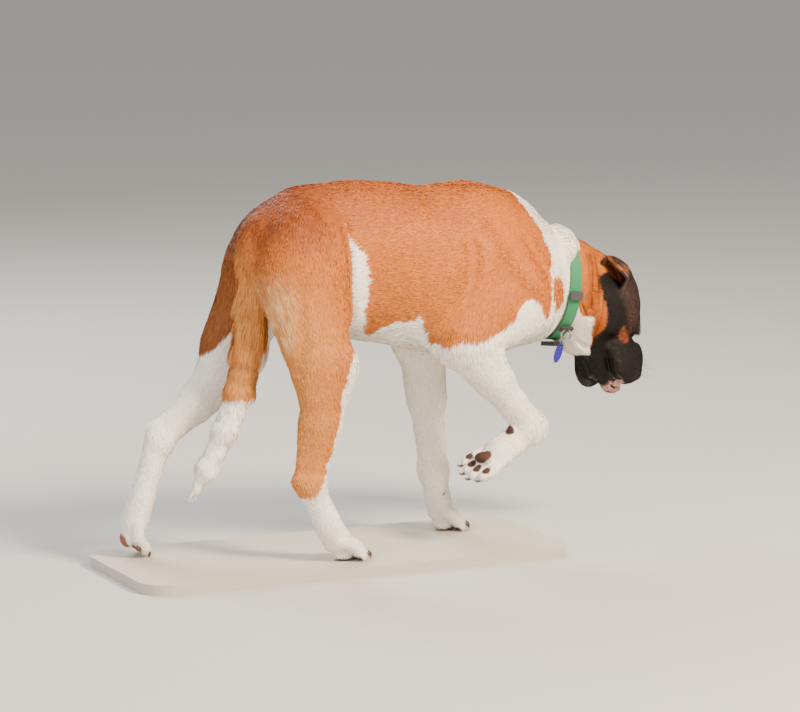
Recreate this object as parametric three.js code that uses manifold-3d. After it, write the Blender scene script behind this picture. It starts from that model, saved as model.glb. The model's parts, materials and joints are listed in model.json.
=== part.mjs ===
// Saint Bernard, young and smooth coated, life size, walking with its head down and the right forepaw
// lifted. Millimetres, +X the way it walks, +Y its left, +Z up. The flesh is one smooth shape, built of
// tapered limbs and rounded muscles that run into each other, and parted by thin plane cuts.
import * as THREE from 'three';
import { mergeVertices } from 'three/addons/utils/BufferGeometryUtils.js';
import Module from 'manifold-3d';

const wasm = await Module();
wasm.setup();

const v = (x, y, z) => new THREE.Vector3(x, y, z);

// Driving sizes
const GAP = 0.3; // between neighbouring pieces
const BASE = { length: 880, width: 360, thick: 20, corner: 60, along: -150 };
const COLLAR = {
  at: v(338, 11, 476), way: v(0.989, 0.09, -0.12), width: 25, thick: 5, sink: 10, slideTurn: 183, buckleTurn: 262,
  ringTurn: 231, ringRadius: 11, wire: 1.7,
};
const TAG = { length: 42, width: 16, thick: 1.8, hole: 3.4, ringRadius: 6.5, wire: 1 };
const EYE_RADIUS = 12;
const LID_RADIUS = 3;
const EAR = { length: 134, thick: 5 };
const PAW_WIDTH = 76;
const CLAW = { length: 12, radius: 4.4 };

const mix = (a, b, t) => a.clone().lerp(b, t);
const LEFT = 1;
const RIGHT = -1;
const ACROSS = v(0, 1, 0);

// Joints of the skeleton under the skin. The floor under the feet is z = 0
const HIND_LEFT = {
  side: LEFT, hip: v(-230, 66, 583), knee: v(-292, 96, 372), hock: v(-456, 99, 218), ball: v(-508, 100, 72),
  haunch: { x: -8, radius: 82 }, rear: { x: -46, radius: 54 },
};
const HIND_RIGHT = {
  side: RIGHT, hip: v(-235, -66, 588), knee: v(-190, -98, 366), hock: v(-228, -98, 148),
  ball: v(-180, -98, 40), haunch: { x: 4, radius: 68 }, rear: { x: -24, radius: 48 },
};
const FORE_LEFT = { side: LEFT, shoulder: v(230, 88, 468), elbow: v(88, 92, 374), carpus: v(112, 86, 122) };
const FORE_RIGHT = {
  side: RIGHT, shoulder: v(236, -88, 478), elbow: v(92, -96, 398), carpus: v(234, -97, 226),
  wrist: v(170, -93, 180),
};
// Trunk sections from rump to chest: place along X, top, underside, half width
const TRUNK = [
  [-318, 590, 535, 30], [-298, 632, 492, 56], [-262, 668, 458, 82], [-205, 697, 432, 98],
  [-115, 716, 404, 102], [-30, 709, 386, 116], [60, 695, 364, 123], [140, 680, 354, 118],
  [205, 660, 356, 104], [262, 626, 372, 84], [305, 575, 396, 62], [328, 535, 440, 40],
];
const TRUNK_SQUARENESS = 2.15;
// Middle line of the tail from its root to its tip, with the radius
const TAIL = [
  [-292, 622, 30], [-301, 569, 37], [-303, 493, 38], [-316, 399, 35], [-333, 323, 33], [-363, 249, 30],
  [-402, 180, 22], [-437, 121, 3],
];
// The head points down and a little to the left, and leans to the left. Head places are along the muzzle, left, up
const HEAD_CENTRE = v(434, 26, 451);
const HEAD_TURN = THREE.MathUtils.degToRad(16);
const HEAD_NOD = THREE.MathUtils.degToRad(58);
const HEAD_ROLL = THREE.MathUtils.degToRad(-14); // its right cheek is higher than its left
const yawed = new THREE.Matrix4().makeRotationZ(HEAD_TURN);
const headTurned = yawed.clone().multiply(new THREE.Matrix4().makeRotationY(HEAD_NOD))
  .multiply(new THREE.Matrix4().makeRotationX(HEAD_ROLL));
const onHead = (x, y, z) => v(x, y, z).applyMatrix4(headTurned).add(HEAD_CENTRE);
const headWay = (x, y, z) => v(x, y, z).applyMatrix4(headTurned);
const eyePlace = (side) => onHead(76, side * 36, -4);

// A shape made of parts that blend: each part is a distance in mm, less than 0 inside it
class Flesh {
  constructor() {
    this.parts = [];
  }

  put(low, high, shrink, blend, distance, join = 'add') {
    this.parts.push({ box: new THREE.Box3(low, high), shrink, blend, distance, join });
  }

  // A limb that tapers from a to b, pressed flat along a side where flat is under 1
  limb(a, b, radiusA, radiusB, blend, { flat = 1, side = ACROSS, join = 'add' } = {}) {
    const along = b.clone().sub(a);
    const lengthSquared = along.lengthSq();
    const pressed = side.clone().normalize();
    const q = v(0, 0, 0);
    const box = new THREE.Box3().expandByPoint(a.clone().addScalar(radiusA));
    box.expandByPoint(a.clone().addScalar(-radiusA));
    box.expandByPoint(b.clone().addScalar(radiusB)).expandByPoint(b.clone().addScalar(-radiusB));
    this.put(box.min, box.max, flat, blend, (p) => {
      q.subVectors(p, a);
      const t = THREE.MathUtils.clamp(q.dot(along) / lengthSquared, 0, 1);
      q.addScaledVector(along, -t);
      q.addScaledVector(pressed, (1 / flat - 1) * q.dot(pressed));
      const d = q.length() - (radiusA + (radiusB - radiusA) * t);
      return d > 0 ? d * flat : d;
    }, join);
  }

  // A rounded lump with three radii, turned by a matrix
  lump(centre, radii, blend, { turn = new THREE.Matrix4(), join = 'add' } = {}) {
    const back = turn.clone().transpose();
    const reach = Math.max(radii.x, radii.y, radii.z);
    const q = v(0, 0, 0);
    this.put(centre.clone().addScalar(-reach), centre.clone().addScalar(reach), 0.4, blend, (p) => {
      q.subVectors(p, centre).applyMatrix4(back).divide(radii);
      const k0 = q.length();
      const k1 = q.divide(radii).length();
      return k0 * (k0 - 1) / Math.max(k1, 1e-6);
    }, join);
  }

  // A band round a limb drawn in by a depth, soft at both edges
  pinch(centre, way, depth, width, reach) {
    const n = way.clone().normalize();
    const size = v(reach, reach, reach);
    this.put(centre.clone().sub(size), centre.clone().add(size), 1, 0, (p) => {
      const along = n.dot(p) - n.dot(centre);
      return depth * Math.exp(-((along / width) ** 2));
    }, 'pinch');
  }

  at(p) {
    let depth = 1e3;
    for (const { box, shrink, blend, distance, join } of this.parts) {
      const away = box.distanceToPoint(p) * shrink;
      const cut = join === 'cut';
      if (join === 'pinch') {
        if (away <= 0) depth += distance(p);
        continue;
      }
      if (cut ? away > blend - depth : away > depth + blend) continue;
      const d = distance(p);
      const over = Math.max(blend - Math.abs(cut ? depth + d : depth - d), 0) / blend;
      const swell = over * over * blend / 4;
      depth = cut ? Math.max(depth, -d) + swell : Math.min(depth, d) - swell;
    }
    return depth;
  }

  outward(p) {
    const step = 0.5;
    const slope = [v(step, 0, 0), v(0, step, 0), v(0, 0, step)].map(
      (s) => this.at(p.clone().add(s)) - this.at(p.clone().sub(s)),
    );
    return v(...slope).normalize();
  }
}

// A smooth line through numbers at growing places, with no overshoot between them
function eased(places, values) {
  const last = places.length - 1;
  const rise = places.slice(1).map((x, i) => (values[i + 1] - values[i]) / (x - places[i]));
  const slope = places.map((_, i) => {
    if (i === 0) return rise[0];
    if (i === last) return rise[last - 1];
    return rise[i - 1] * rise[i] <= 0 ? 0 : 2 * rise[i - 1] * rise[i] / (rise[i - 1] + rise[i]);
  });
  return (x) => {
    const i = Math.max(0, Math.min(last - 1, places.findIndex((p) => p > x) - 1));
    const n = x >= places[last] ? last - 1 : i;
    const width = places[n + 1] - places[n];
    const t = THREE.MathUtils.clamp((x - places[n]) / width, 0, 1);
    const bend = (1 - t) * (1 - t) * t * width * slope[n] - (1 - t) * t * t * width * slope[n + 1];
    return values[n] + (values[n + 1] - values[n]) * t * t * (3 - 2 * t) + bend;
  };
}

function addTrunk(flesh) {
  const column = (i) => TRUNK.map((row) => row[i]);
  const [top, under, half] = [1, 2, 3].map((i) => eased(column(0), column(i)));
  const [first, last] = [TRUNK[0][0], TRUNK[TRUNK.length - 1][0]];
  flesh.put(v(first, -130, 340), v(last, 130, 730), 0.5, 30, (p) => {
    const x = THREE.MathUtils.clamp(p.x, first, last);
    const middle = top(x) * 0.52 + under(x) * 0.48;
    const height = p.z > middle ? top(x) - middle : middle - under(x);
    const across = Math.abs(p.y / half(x)) ** TRUNK_SQUARENESS;
    const up = Math.abs((p.z - middle) / height) ** TRUNK_SQUARENESS;
    const d = ((across + up) ** (1 / TRUNK_SQUARENESS) - 1) * Math.min(half(x), height);
    const past = Math.abs(p.x - x);
    return past > 0 ? Math.hypot(Math.max(d, 0), past) : d;
  });
  flesh.limb(v(-215, 0, 630), v(-290, 0, 615), 58, 34, 60); // croup
  flesh.limb(v(95, 0, 642), v(200, 0, 630), 36, 32, 50); // withers
}

function addNeck(flesh) {
  flesh.limb(v(215, 0, 545), v(325, 10, 490), 108, 94, 60, { flat: 0.74 });
  flesh.limb(v(325, 10, 488), v(403, 18, 450), 93, 80, 40, { flat: 0.76 });
}

function addForeleg(flesh, { side, shoulder, elbow, carpus }) {
  const blade = v(150, side * 52, 642);
  flesh.limb(blade, shoulder, 34, 46, 60, { flat: 0.62, side: v(0, 1, 0.12 * side) });
  flesh.limb(shoulder, elbow, 52, 44, 50, { flat: 0.82 });
  flesh.limb(v(125, side * 76, 560), elbow.clone().add(v(-10, 0, 24)), 42, 36, 60, { flat: 0.78 });
  flesh.lump(elbow.clone().add(v(-26, 0, 14)), v(18, 16, 24), 22);
  flesh.limb(elbow, mix(elbow, carpus, 0.42), 43, 37, 34);
  flesh.limb(mix(elbow, carpus, 0.3), carpus, 38, 29, 25);
  flesh.lump(carpus, v(31, 31, 33), 16);
}

function addHindleg(flesh, { side, hip, knee, hock, ball, haunch, rear }) {
  const shin = (t, x, z) => mix(knee, hock, t).add(v(x, 0, z));
  flesh.lump(hip.clone().add(v(haunch.x, side * 4, -14)), v(haunch.radius, 48, 92), 50);
  flesh.limb(hip.clone().add(v(0, side * 10, -60)), shin(0, -10, 28), 78, 54, 45, { flat: 0.66 });
  flesh.limb(hip.clone().add(v(rear.x, side * 4, -60)), shin(0.2, -16, 0), rear.radius, 42, 45, { flat: 0.7 });
  flesh.lump(shin(0, 14, 4), v(30, 30, 34), 26);
  flesh.limb(knee, shin(0.55, 0, 0), 46, 34, 30, { flat: 0.8 });
  flesh.limb(shin(0.5, 0, 0), hock, 36, 24, 24, { flat: 0.86 });
  const foot = hock.clone().sub(ball).normalize();
  const behind = v(1, 0, 0).addScaledVector(foot, -foot.x).normalize();
  const heel = hock.clone().addScaledVector(foot, 20).addScaledVector(behind, -20);
  flesh.limb(heel, shin(0.45, -24, -4), 13, 22, 20, { flat: 0.6 });
  flesh.limb(heel, ball, 15, 17, 14);
  flesh.lump(hock, v(25, 24, 28), 14);
  flesh.limb(hock, ball, 24, 24, 16, { flat: 0.92 });
}

// A paw: four toes from their roots over the middle joints to the tips, and the pad behind them
const PAWS = {
  fore_left: {
    joint: FORE_LEFT.carpus, root: v(124, 83, 44), middle: v(146, 82, 32), tip: v(164, 81, 12),
    pad: v(130, 82, 14), padSize: v(23, 24, 17), width: PAW_WIDTH, toe: 13.6, down: v(0, 0, -1),
  },
  fore_right: {
    joint: v(190, -94, 194), root: v(166, -93, 179), middle: v(132, -92, 159), tip: v(108, -92, 146),
    pad: v(131, -101, 174), padSize: v(20, 22, 14), width: PAW_WIDTH - 6, toe: 13.4,
    across: v(-0.218, 0.893, 0.396), down: v(-0.5, -0.45, 0.74),
  },
  hind_right: {
    joint: v(-200, -98, 72), root: v(-176, -98, 38), middle: v(-150, -98, 31), tip: v(-129, -98, 12),
    pad: v(-166, -98, 14), padSize: v(23, 23, 17), width: PAW_WIDTH - 6, toe: 13.2, down: v(0, 0, -1),
  },
  hind_left: {
    joint: v(-496, 100, 100), root: v(-511, 100, 62), middle: v(-509, 101, 34), tip: v(-494, 101, 12),
    pad: v(-527, 100, 36), padSize: v(15, 23, 20), width: PAW_WIDTH - 6, toe: 13.2, down: v(-0.8, 0, -0.6),
  },
};
const TOES = [-1.5, -0.5, 0.5, 1.5];
const OUTER_BACK = 10; // how far the outer toes end behind the middle two

// The way a paw points, square to the way its pads face
function aheadOf({ middle, tip, down }) {
  const under = down.clone().normalize();
  const forward = tip.clone().sub(middle);
  return forward.addScaledVector(under, -forward.dot(under)).normalize();
}

function toeLine(paw, i) {
  const ahead = aheadOf(paw);
  const back = Math.abs(i) > 1 ? OUTER_BACK : 0;
  const place = (p, share, part) => p.clone().addScaledVector(paw.across ?? ACROSS, i * paw.width * share)
    .addScaledVector(ahead, -part * back);
  return {
    root: place(paw.root, 0.2, 0.3), middle: place(paw.middle, 0.25, 0.8), tip: place(paw.tip, 0.262, 1),
  };
}

function addPaw(flesh, paw) {
  const { joint, width, toe } = paw;
  const hand = mix(joint, paw.root, 0.88);
  const flatSide = hand.clone().sub(joint).cross(paw.across ?? ACROSS);
  flesh.limb(joint, hand, width * 0.37, width * 0.41, 14, { flat: 0.86, side: flatSide });
  const palm = [mix(paw.root, paw.pad, 0.4), mix(paw.middle, paw.tip, 0.25)];
  flesh.limb(...palm, width * 0.35, width * 0.28, 8, { flat: 0.58, side: paw.down });
  for (const i of TOES) {
    const line = toeLine(paw, i);
    flesh.limb(line.root, line.middle, toe * 1.02, toe * 1.05, 5);
    flesh.limb(line.middle, line.tip, toe * 1.05, toe * 0.94, 3);
  }
  flesh.lump(paw.pad, paw.padSize, 6);
}

// The skull, muzzle and upper lips, in head places
function addSkull(flesh) {
  const lump = (x, y, z, a, b, c, blend, more = {}) => {
    const turn = headTurned.clone();
    if (more.tilt) turn.multiply(new THREE.Matrix4().makeRotationY(more.tilt));
    flesh.lump(onHead(x, y, z), v(a, b, c), blend, { turn, join: more.join });
  };
  const limb = (a, b, ra, rb, blend, more) => flesh.limb(onHead(...a), onHead(...b), ra, rb, blend, more);
  lump(-8, 0, -6, 66, 61, 54, 30); // brain case
  limb([-58, 0, 20], [-12, 0, 28], 16, 24, 30); // crest of the back of the head
  for (const side of [LEFT, RIGHT]) {
    lump(38, side * 29, 16, 34, 28, 25, 24); // forehead
    limb([0, side * 55, -16], [70, side * 44, -20], 27, 21, 26); // cheek bone
    lump(2, side * 50, -46, 48, 26, 42, 28); // chewing muscle
    lump(68, side * 41, 16, 17, 15, 12, 14); // brow
  }
  limb([4, 0, 64], [78, 0, 43], 12, 14, 18, { join: 'cut' }); // furrow of the forehead
  limb([80, 0, -6], [174, 0, -4], 21, 19, 20); // bridge of the nose
  for (const side of [LEFT, RIGHT]) {
    limb([84, side * 24, -20], [166, side * 21, -20], 29, 26, 16); // side of the muzzle
    lump(160, side * 20, -36, 26, 23, 28, 14); // front of the upper lip
    lump(126, side * 47, -44, 44, 17, 44, 16, { tilt: 0.2 }); // hanging lip
    lump(98, side * 42, 4, 16, 12, 14, 14, { join: 'cut' }); // hollow in front of the eye
  }
  flesh.limb(onHead(-10, 0, -70), onHead(52, 0, -73), 34, 29, 26, { flat: 0.9, side: headWay(0, 0, 1) });
  flesh.limb(onHead(-24, 0, -56), v(382, 14, 412), 60, 64, 40, { flat: 0.8, side: headWay(0, 1, 0) });
  flesh.limb(onHead(-30, 0, -4), v(378, 16, 476), 56, 64, 50, { flat: 0.85, side: headWay(0, 1, 0) });
}

function addNose(flesh) {
  flesh.lump(onHead(188, 0, -4), v(15, 24, 18), 8, { turn: headTurned });
}

function addJaw(flesh) {
  flesh.limb(onHead(-10, 0, -70), onHead(146, 0, -78), 34, 22, 26, { flat: 0.9, side: headWay(0, 0, 1) });
  flesh.lump(onHead(158, 0, -76), v(20, 24, 16), 12, { turn: headTurned });
}

function addTailRoot(flesh) {
  const [a, b] = TAIL.map(([x, z]) => v(x, 0, z));
  flesh.limb(a, mix(a, b, 0.5), TAIL[0][2], TAIL[1][2] - 2, 26);
}

const body = new Flesh();
addTrunk(body);
addNeck(body);
[FORE_LEFT, FORE_RIGHT].forEach((leg) => addForeleg(body, leg));
body.limb(FORE_RIGHT.carpus, FORE_RIGHT.wrist, 28, 28, 16);
[HIND_LEFT, HIND_RIGHT].forEach((leg) => addHindleg(body, leg));
Object.values(PAWS).forEach((paw) => addPaw(body, paw));
addTailRoot(body);
const headFlesh = new Flesh();
headFlesh.parts.push(...body.parts);
addSkull(headFlesh);
headFlesh.pinch(COLLAR.at, COLLAR.way, COLLAR.sink, COLLAR.width, 150);

// Solids that can be cut and joined
function solidOf(geometry) {
  const bare = geometry.clone();
  bare.deleteAttribute('normal');
  bare.deleteAttribute('uv');
  const merged = mergeVertices(bare, 1e-4);
  return new wasm.Manifold(new wasm.Mesh({
    numProp: 3,
    vertProperties: new Float32Array(merged.attributes.position.array),
    triVerts: new Uint32Array(merged.index.array),
  }));
}

function geometryOf(solid) {
  const mesh = solid.getMesh();
  const geometry = new THREE.BufferGeometry();
  geometry.setAttribute('position', new THREE.BufferAttribute(mesh.vertProperties, 3));
  geometry.setIndex(new THREE.BufferAttribute(mesh.triVerts, 1));
  geometry.computeVertexNormals();
  return geometry;
}

function largest(solid) {
  return solid.decompose().reduce((best, next) => (next.volume() > best.volume() ? next : best));
}

// The same solid with every face moved outward, to cut a neighbour clear of it
function swollen(solid, by = GAP) {
  const geometry = geometryOf(solid);
  const { position, normal } = geometry.attributes;
  const corners = geometry.index.array;
  const point = (i) => v(0, 0, 0).fromBufferAttribute(position, i);
  const out = (i) => v(0, 0, 0).fromBufferAttribute(normal, i);
  const least = new Float64Array(position.count).fill(1);
  for (let i = 0; i < corners.length; i += 3) {
    const [a, b, c] = [0, 1, 2].map((n) => corners[i + n]);
    const face = point(b).sub(point(a)).cross(point(c).sub(point(a))).normalize();
    for (const n of [a, b, c]) least[n] = Math.min(least[n], face.dot(out(n)));
  }
  for (let i = 0; i < position.count; i += 1) {
    const p = point(i).addScaledVector(out(i), by / Math.max(least[i], 0.35));
    position.setXYZ(i, p.x, p.y, p.z);
  }
  return solidOf(geometry);
}

// A block whose near face lies on a plane, reaching away from it along the plane's way
function block(point, way, { deep = 600, wide = 600, tall = 600, up = v(0, 1, 0), slide = 0 } = {}) {
  const n = way.clone().normalize();
  const geometry = new THREE.BoxGeometry(wide, tall, deep);
  const side = v(0, 0, 0).crossVectors(up, n).normalize();
  const top = v(0, 0, 0).crossVectors(n, side);
  const place = new THREE.Matrix4().makeBasis(side, top, n);
  place.setPosition(point.clone().addScaledVector(n, deep / 2).addScaledVector(top, slide));
  return solidOf(geometry.applyMatrix4(place));
}

// Grid lines from one place to another, with spacings that grow or shrink along the way
function lines(from, to, step, lastStep = step) {
  const places = [from];
  while (places[places.length - 1] < to) {
    const t = (places[places.length - 1] - from) / (to - from);
    places.push(places[places.length - 1] + step + (lastStep - step) * Math.min(1, t));
  }
  return places;
}

// Where flesh touches flesh only across the corner of a grid square, one more corner joins it
function fillPinches(depth, size) {
  const strides = [size[1] * size[2], size[2], 1];
  const planes = [[0, 1], [0, 2], [1, 2]];
  for (let found = true; found;) {
    found = false;
    for (const [m, n] of planes) {
      for (let at = 0; at + strides[m] + strides[n] < depth.length; at += 1) {
        const ring = [at, at + strides[m], at + strides[m] + strides[n], at + strides[n]];
        const inside = ring.map((q) => depth[q] < 0);
        if (inside[0] !== inside[2] || inside[1] !== inside[3] || inside[0] === inside[1]) continue;
        const open = ring.filter((q, k) => !inside[k]).sort((a, b) => depth[a] - depth[b]);
        depth[open[0]] = -0.01;
        found = true;
      }
    }
  }
}

// A closed mesh over the flesh inside a box of grid lines, in the box's own frame
function skinOf(flesh, [xs, ys, zs], frame = new THREE.Matrix4()) {
  const size = [xs.length, ys.length, zs.length];
  const index = (i, j, k) => (i * size[1] + j) * size[2] + k;
  const depth = new Float64Array(size[0] * size[1] * size[2]);
  const edge = (n, last) => n === 0 || n === last - 1;
  for (let i = 0; i < size[0]; i += 1) {
    for (let j = 0; j < size[1]; j += 1) {
      for (let k = 0; k < size[2]; k += 1) {
        const d = flesh.at(v(xs[i], ys[j], zs[k]).applyMatrix4(frame));
        const outside = edge(i, size[0]) || edge(j, size[1]) || edge(k, size[2]);
        depth[index(i, j, k)] = outside ? Math.max(d, 1) : d;
      }
    }
  }
  fillPinches(depth, size);
  const points = [];
  const pointOf = new Map();
  const CORNERS = [0, 1, 2, 3, 4, 5, 6, 7].map((n) => [n & 1, (n >> 1) & 1, (n >> 2) & 1]);
  const EDGES = CORNERS.flatMap((a, m) => [0, 1, 2].filter((n) => !a[n]).map((n) => [m, m | (1 << n)]));
  for (let i = 0; i < size[0] - 1; i += 1) {
    for (let j = 0; j < size[1] - 1; j += 1) {
      for (let k = 0; k < size[2] - 1; k += 1) {
        const at = CORNERS.map(([a, b, c]) => depth[index(i + a, j + b, k + c)]);
        const sum = v(0, 0, 0);
        let crossings = 0;
        for (const [m, n] of EDGES) {
          if ((at[m] < 0) === (at[n] < 0)) continue;
          const corner = (q) => v(xs[i + CORNERS[q][0]], ys[j + CORNERS[q][1]], zs[k + CORNERS[q][2]]);
          sum.add(mix(corner(m), corner(n), at[m] / (at[m] - at[n])));
          crossings += 1;
        }
        if (!crossings) continue;
        const p = sum.divideScalar(crossings).applyMatrix4(frame);
        const d = flesh.at(p);
        const rim = edge(i, size[0] - 1) || edge(j, size[1] - 1) || edge(k, size[2] - 1);
        if (!rim && Math.abs(d) < 4) p.addScaledVector(flesh.outward(p), -d);
        pointOf.set(index(i, j, k), points.length);
        points.push(p);
      }
    }
  }
  const faces = [];
  const quad = (ring, outward) => {
    const [a, b, c, d] = (outward ? ring : ring.reverse()).map((cell) => pointOf.get(cell));
    const short = points[a].distanceTo(points[c]) <= points[b].distanceTo(points[d]);
    faces.push(...(short ? [a, b, c, a, c, d] : [b, c, d, b, d, a]));
  };
  for (let i = 0; i < size[0] - 1; i += 1) {
    for (let j = 0; j < size[1] - 1; j += 1) {
      for (let k = 0; k < size[2] - 1; k += 1) {
        const here = depth[index(i, j, k)] < 0;
        const cell = (a, b, c) => index(i - a, j - b, k - c);
        if (here !== depth[index(i + 1, j, k)] < 0) {
          quad([cell(0, 1, 1), cell(0, 0, 1), cell(0, 0, 0), cell(0, 1, 0)], here);
        }
        if (here !== depth[index(i, j + 1, k)] < 0) {
          quad([cell(1, 0, 1), cell(1, 0, 0), cell(0, 0, 0), cell(0, 0, 1)], here);
        }
        if (here !== depth[index(i, j, k + 1)] < 0) {
          quad([cell(1, 1, 0), cell(0, 1, 0), cell(0, 0, 0), cell(1, 0, 0)], here);
        }
      }
    }
  }
  return meshSolid(points, faces);
}

// A mesh solid whose faces are turned outward if they point in
function upright(points, faces) {
  const solid = meshSolid(points, faces);
  return solid.volume() > 0 ? solid : meshSolid(points, faces.slice().reverse());
}

function meshSolid(points, faces) {
  const geometry = new THREE.BufferGeometry().setFromPoints(points);
  geometry.setIndex(faces);
  return solidOf(geometry);
}

// How far the flesh reaches from a place along a way, up to a limit and to the dog's middle plane
function reachOf(flesh, from, way, limit, side = 0) {
  const most = side && way.y * side < 0 ? Math.min(limit, (from.y * side - 4) / (-way.y * side)) : limit;
  const p = v(0, 0, 0);
  const depthAt = (r) => flesh.at(p.copy(from).addScaledVector(way, r));
  let [near, far] = [0, 0];
  while (far < most) {
    far = Math.min(most, far + Math.max(2, -depthAt(far) * 0.6));
    if (depthAt(far) > 0) break;
    near = far;
  }
  if (near === far) return most;
  for (let i = 0; i < 12; i += 1) {
    const half = (near + far) / 2;
    if (depthAt(half) > 0) far = half;
    else near = half;
  }
  return near;
}

// Rings of points laid on the flesh round a bent line, closed at both ends
function sleeve(flesh, joints, { rings, sides, limit, side = 0 }) {
  const curve = new THREE.CatmullRomCurve3(joints, false, 'centripetal');
  const points = [];
  const faces = [];
  for (let i = 0; i < rings; i += 1) {
    const centre = curve.getPointAt(i / (rings - 1));
    const way = curve.getTangentAt(i / (rings - 1));
    const across = ACROSS.clone().addScaledVector(way, -way.y).normalize();
    const up = v(0, 0, 0).crossVectors(way, across);
    for (let j = 0; j < sides; j += 1) {
      const angle = 2 * Math.PI * j / sides;
      const out = across.clone().multiplyScalar(Math.cos(angle)).addScaledVector(up, Math.sin(angle));
      points.push(centre.clone().addScaledVector(out, reachOf(flesh, centre, out, limit, side)));
    }
  }
  for (let i = 0; i < rings - 1; i += 1) {
    for (let j = 0; j < sides; j += 1) {
      const [a, b] = [i * sides + j, i * sides + (j + 1) % sides];
      faces.push(a, b, b + sides, a, b + sides, a + sides);
    }
  }
  points.push(joints[0].clone(), joints[joints.length - 1].clone());
  const [start, end] = [points.length - 2, points.length - 1];
  for (let j = 0; j < sides; j += 1) {
    const next = (j + 1) % sides;
    faces.push(start, next, j, end, (rings - 1) * sides + j, (rings - 1) * sides + next);
  }
  return meshSolid(points, faces);
}

// Planes that part the body: a place and the way out of the torso, past which the limb begins
const PARTS = {
  neck: { at: v(290, 0, 500), way: v(0.998, 0, 0.06) },
  head: { at: v(400, 20, 444), way: v(0.96, 0.1, -0.253) },
  fore_left: { at: v(92, 92, 395), way: v(-0.22, 0.5, -0.85) },
  fore_right: { at: v(92, -96, 404), way: v(-0.2, -0.5, -0.85) },
  hind_left: { at: v(-228, 80, 472), way: v(-0.42, 0.46, -0.78) },
  hind_right: { at: v(-222, -80, 474), way: v(-0.45, -0.46, -0.76) },
  tail: { at: v(-300, 0, 602), way: v(-0.2, 0, -1) },
  paw_fore_left: { at: v(118, 85, 64), way: v(0.1, 0, -1) },
  paw_fore_right: { at: v(234, -97, 226), way: v(-0.11, 0, -0.99) },
  paw_hind_left: { at: v(-498, 100, 104), way: v(-0.335, 0, -0.94) },
  paw_hind_right: { at: v(-206, -98, 84), way: v(0.51, 0, -0.86) },
};

function beyond(name, size) {
  const way = PARTS[name].way.clone().normalize();
  return block(PARTS[name].at.clone().addScaledVector(way, -GAP / 2), way, size);
}

function before(name, size) {
  const way = PARTS[name].way.clone().normalize().negate();
  return block(PARTS[name].at.clone().addScaledVector(way, -GAP / 2), way, size);
}

const LEG_CUT = { wide: 250, tall: 300, deep: 300, up: v(1, 0, 0), slide: 42 };
const THIGH_CUT = { wide: 300, tall: 330, deep: 300, up: v(1, 0, 0) };

function makeTail() {
  const flesh = new Flesh();
  const line = TAIL.map(([x, z]) => v(x, 0, z));
  line.slice(1).forEach((p, i) => flesh.limb(line[i], p, TAIL[i][2], TAIL[i + 1][2], 12));
  return sleeve(flesh, line, { rings: 22, sides: 14, limit: 60 }).subtract(before('tail'));
}

function makeTorso(tail) {
  const grid = [lines(-378, 385, 34), lines(-175, 175, 30), lines(318, 745, 31)];
  let torso = skinOf(body, grid).subtract(beyond('neck'));
  for (const name of ['fore_left', 'fore_right']) torso = torso.subtract(beyond(name, LEG_CUT));
  for (const name of ['hind_left', 'hind_right']) torso = torso.subtract(beyond(name, THIGH_CUT));
  return largest(torso.subtract(swollen(tail)));
}

const OVER_BAND = 15; // no flesh bulges over the webbing within this height

function makeNeck() {
  const grid = [lines(186, 480, 27), lines(-140, 155, 26), lines(316, 700, 27)];
  const neck = skinOf(headFlesh, grid).subtract(before('neck')).subtract(beyond('head'));
  return largest(neck.subtract(swollen(makeBand(OVER_BAND))));
}

function makeForeleg(name, { side, elbow, carpus, wrist }) {
  const end = wrist ? mix(elbow, carpus, 1.14) : v(122, side * 84, 44);
  const line = [elbow.clone().add(v(-14, 0, 85)), elbow, mix(elbow, carpus, 0.5), carpus, end];
  const leg = sleeve(body, wrist ? [...line.slice(0, 3), end] : line, { rings: 20, sides: 14, limit: 88, side });
  const parted = leg.subtract(before(`fore_${name}`)).subtract(beyond(`paw_fore_${name}`));
  return largest(parted);
}

function makeHindleg(name, { side, hip, knee, hock, ball }, tail) {
  const line = [hip, mix(hip, knee, 0.55), knee, mix(knee, hock, 0.5), hock, ball];
  const leg = sleeve(body, line, { rings: 26, sides: 16, limit: 120, side });
  const parted = leg.subtract(before(`hind_${name}`)).subtract(beyond(`paw_hind_${name}`));
  return largest(parted.subtract(swollen(tail)));
}

function claw(paw, i) {
  const { tip } = toeLine(paw, i);
  const forward = aheadOf(paw);
  const lift = paw.down.clone().multiplyScalar(-1);
  const root = tip.clone().addScaledVector(forward, paw.toe * 0.5).addScaledVector(lift, paw.toe * 0.25);
  const way = forward.clone().addScaledVector(paw.down, 0.45).normalize();
  const cone = new THREE.ConeGeometry(CLAW.radius, CLAW.length + 8, 6);
  const turn = new THREE.Quaternion().setFromUnitVectors(v(0, 1, 0), way);
  const place = new THREE.Matrix4().makeRotationFromQuaternion(turn);
  return solidOf(cone.applyMatrix4(place.setPosition(root.addScaledVector(way, CLAW.length / 2))));
}

function makePaw(name) {
  const paw = PAWS[name];
  const parting = PARTS[`paw_${name}`].at;
  const box = new THREE.Box3().setFromPoints([paw.root, paw.tip, paw.pad, paw.joint, parting]);
  box.expandByScalar(48);
  const steps = [12.6, 9.2, 11.8]; // finest across the toes
  const grid = [[box.min.x, box.max.x], [box.min.y, box.max.y], [box.min.z, box.max.z]];
  let solid = skinOf(body, grid.map(([low, high], i) => lines(low, high, steps[i])));
  solid = largest(solid.subtract(before(`paw_${name}`)));
  for (const i of TOES) solid = solid.add(claw(paw, i));
  return largest(solid.subtract(block(v(0, 0, 0), v(0, 0, -1), { wide: 1400, tall: 1400 })));
}

// The eye, a ball in its socket, and the two lids round it
function makeEye(side) {
  const ball = new THREE.SphereGeometry(EYE_RADIUS, 12, 9).rotateX(Math.PI / 2);
  ball.applyMatrix4(headTurned.clone().setPosition(eyePlace(side)));
  return solidOf(ball);
}

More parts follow.
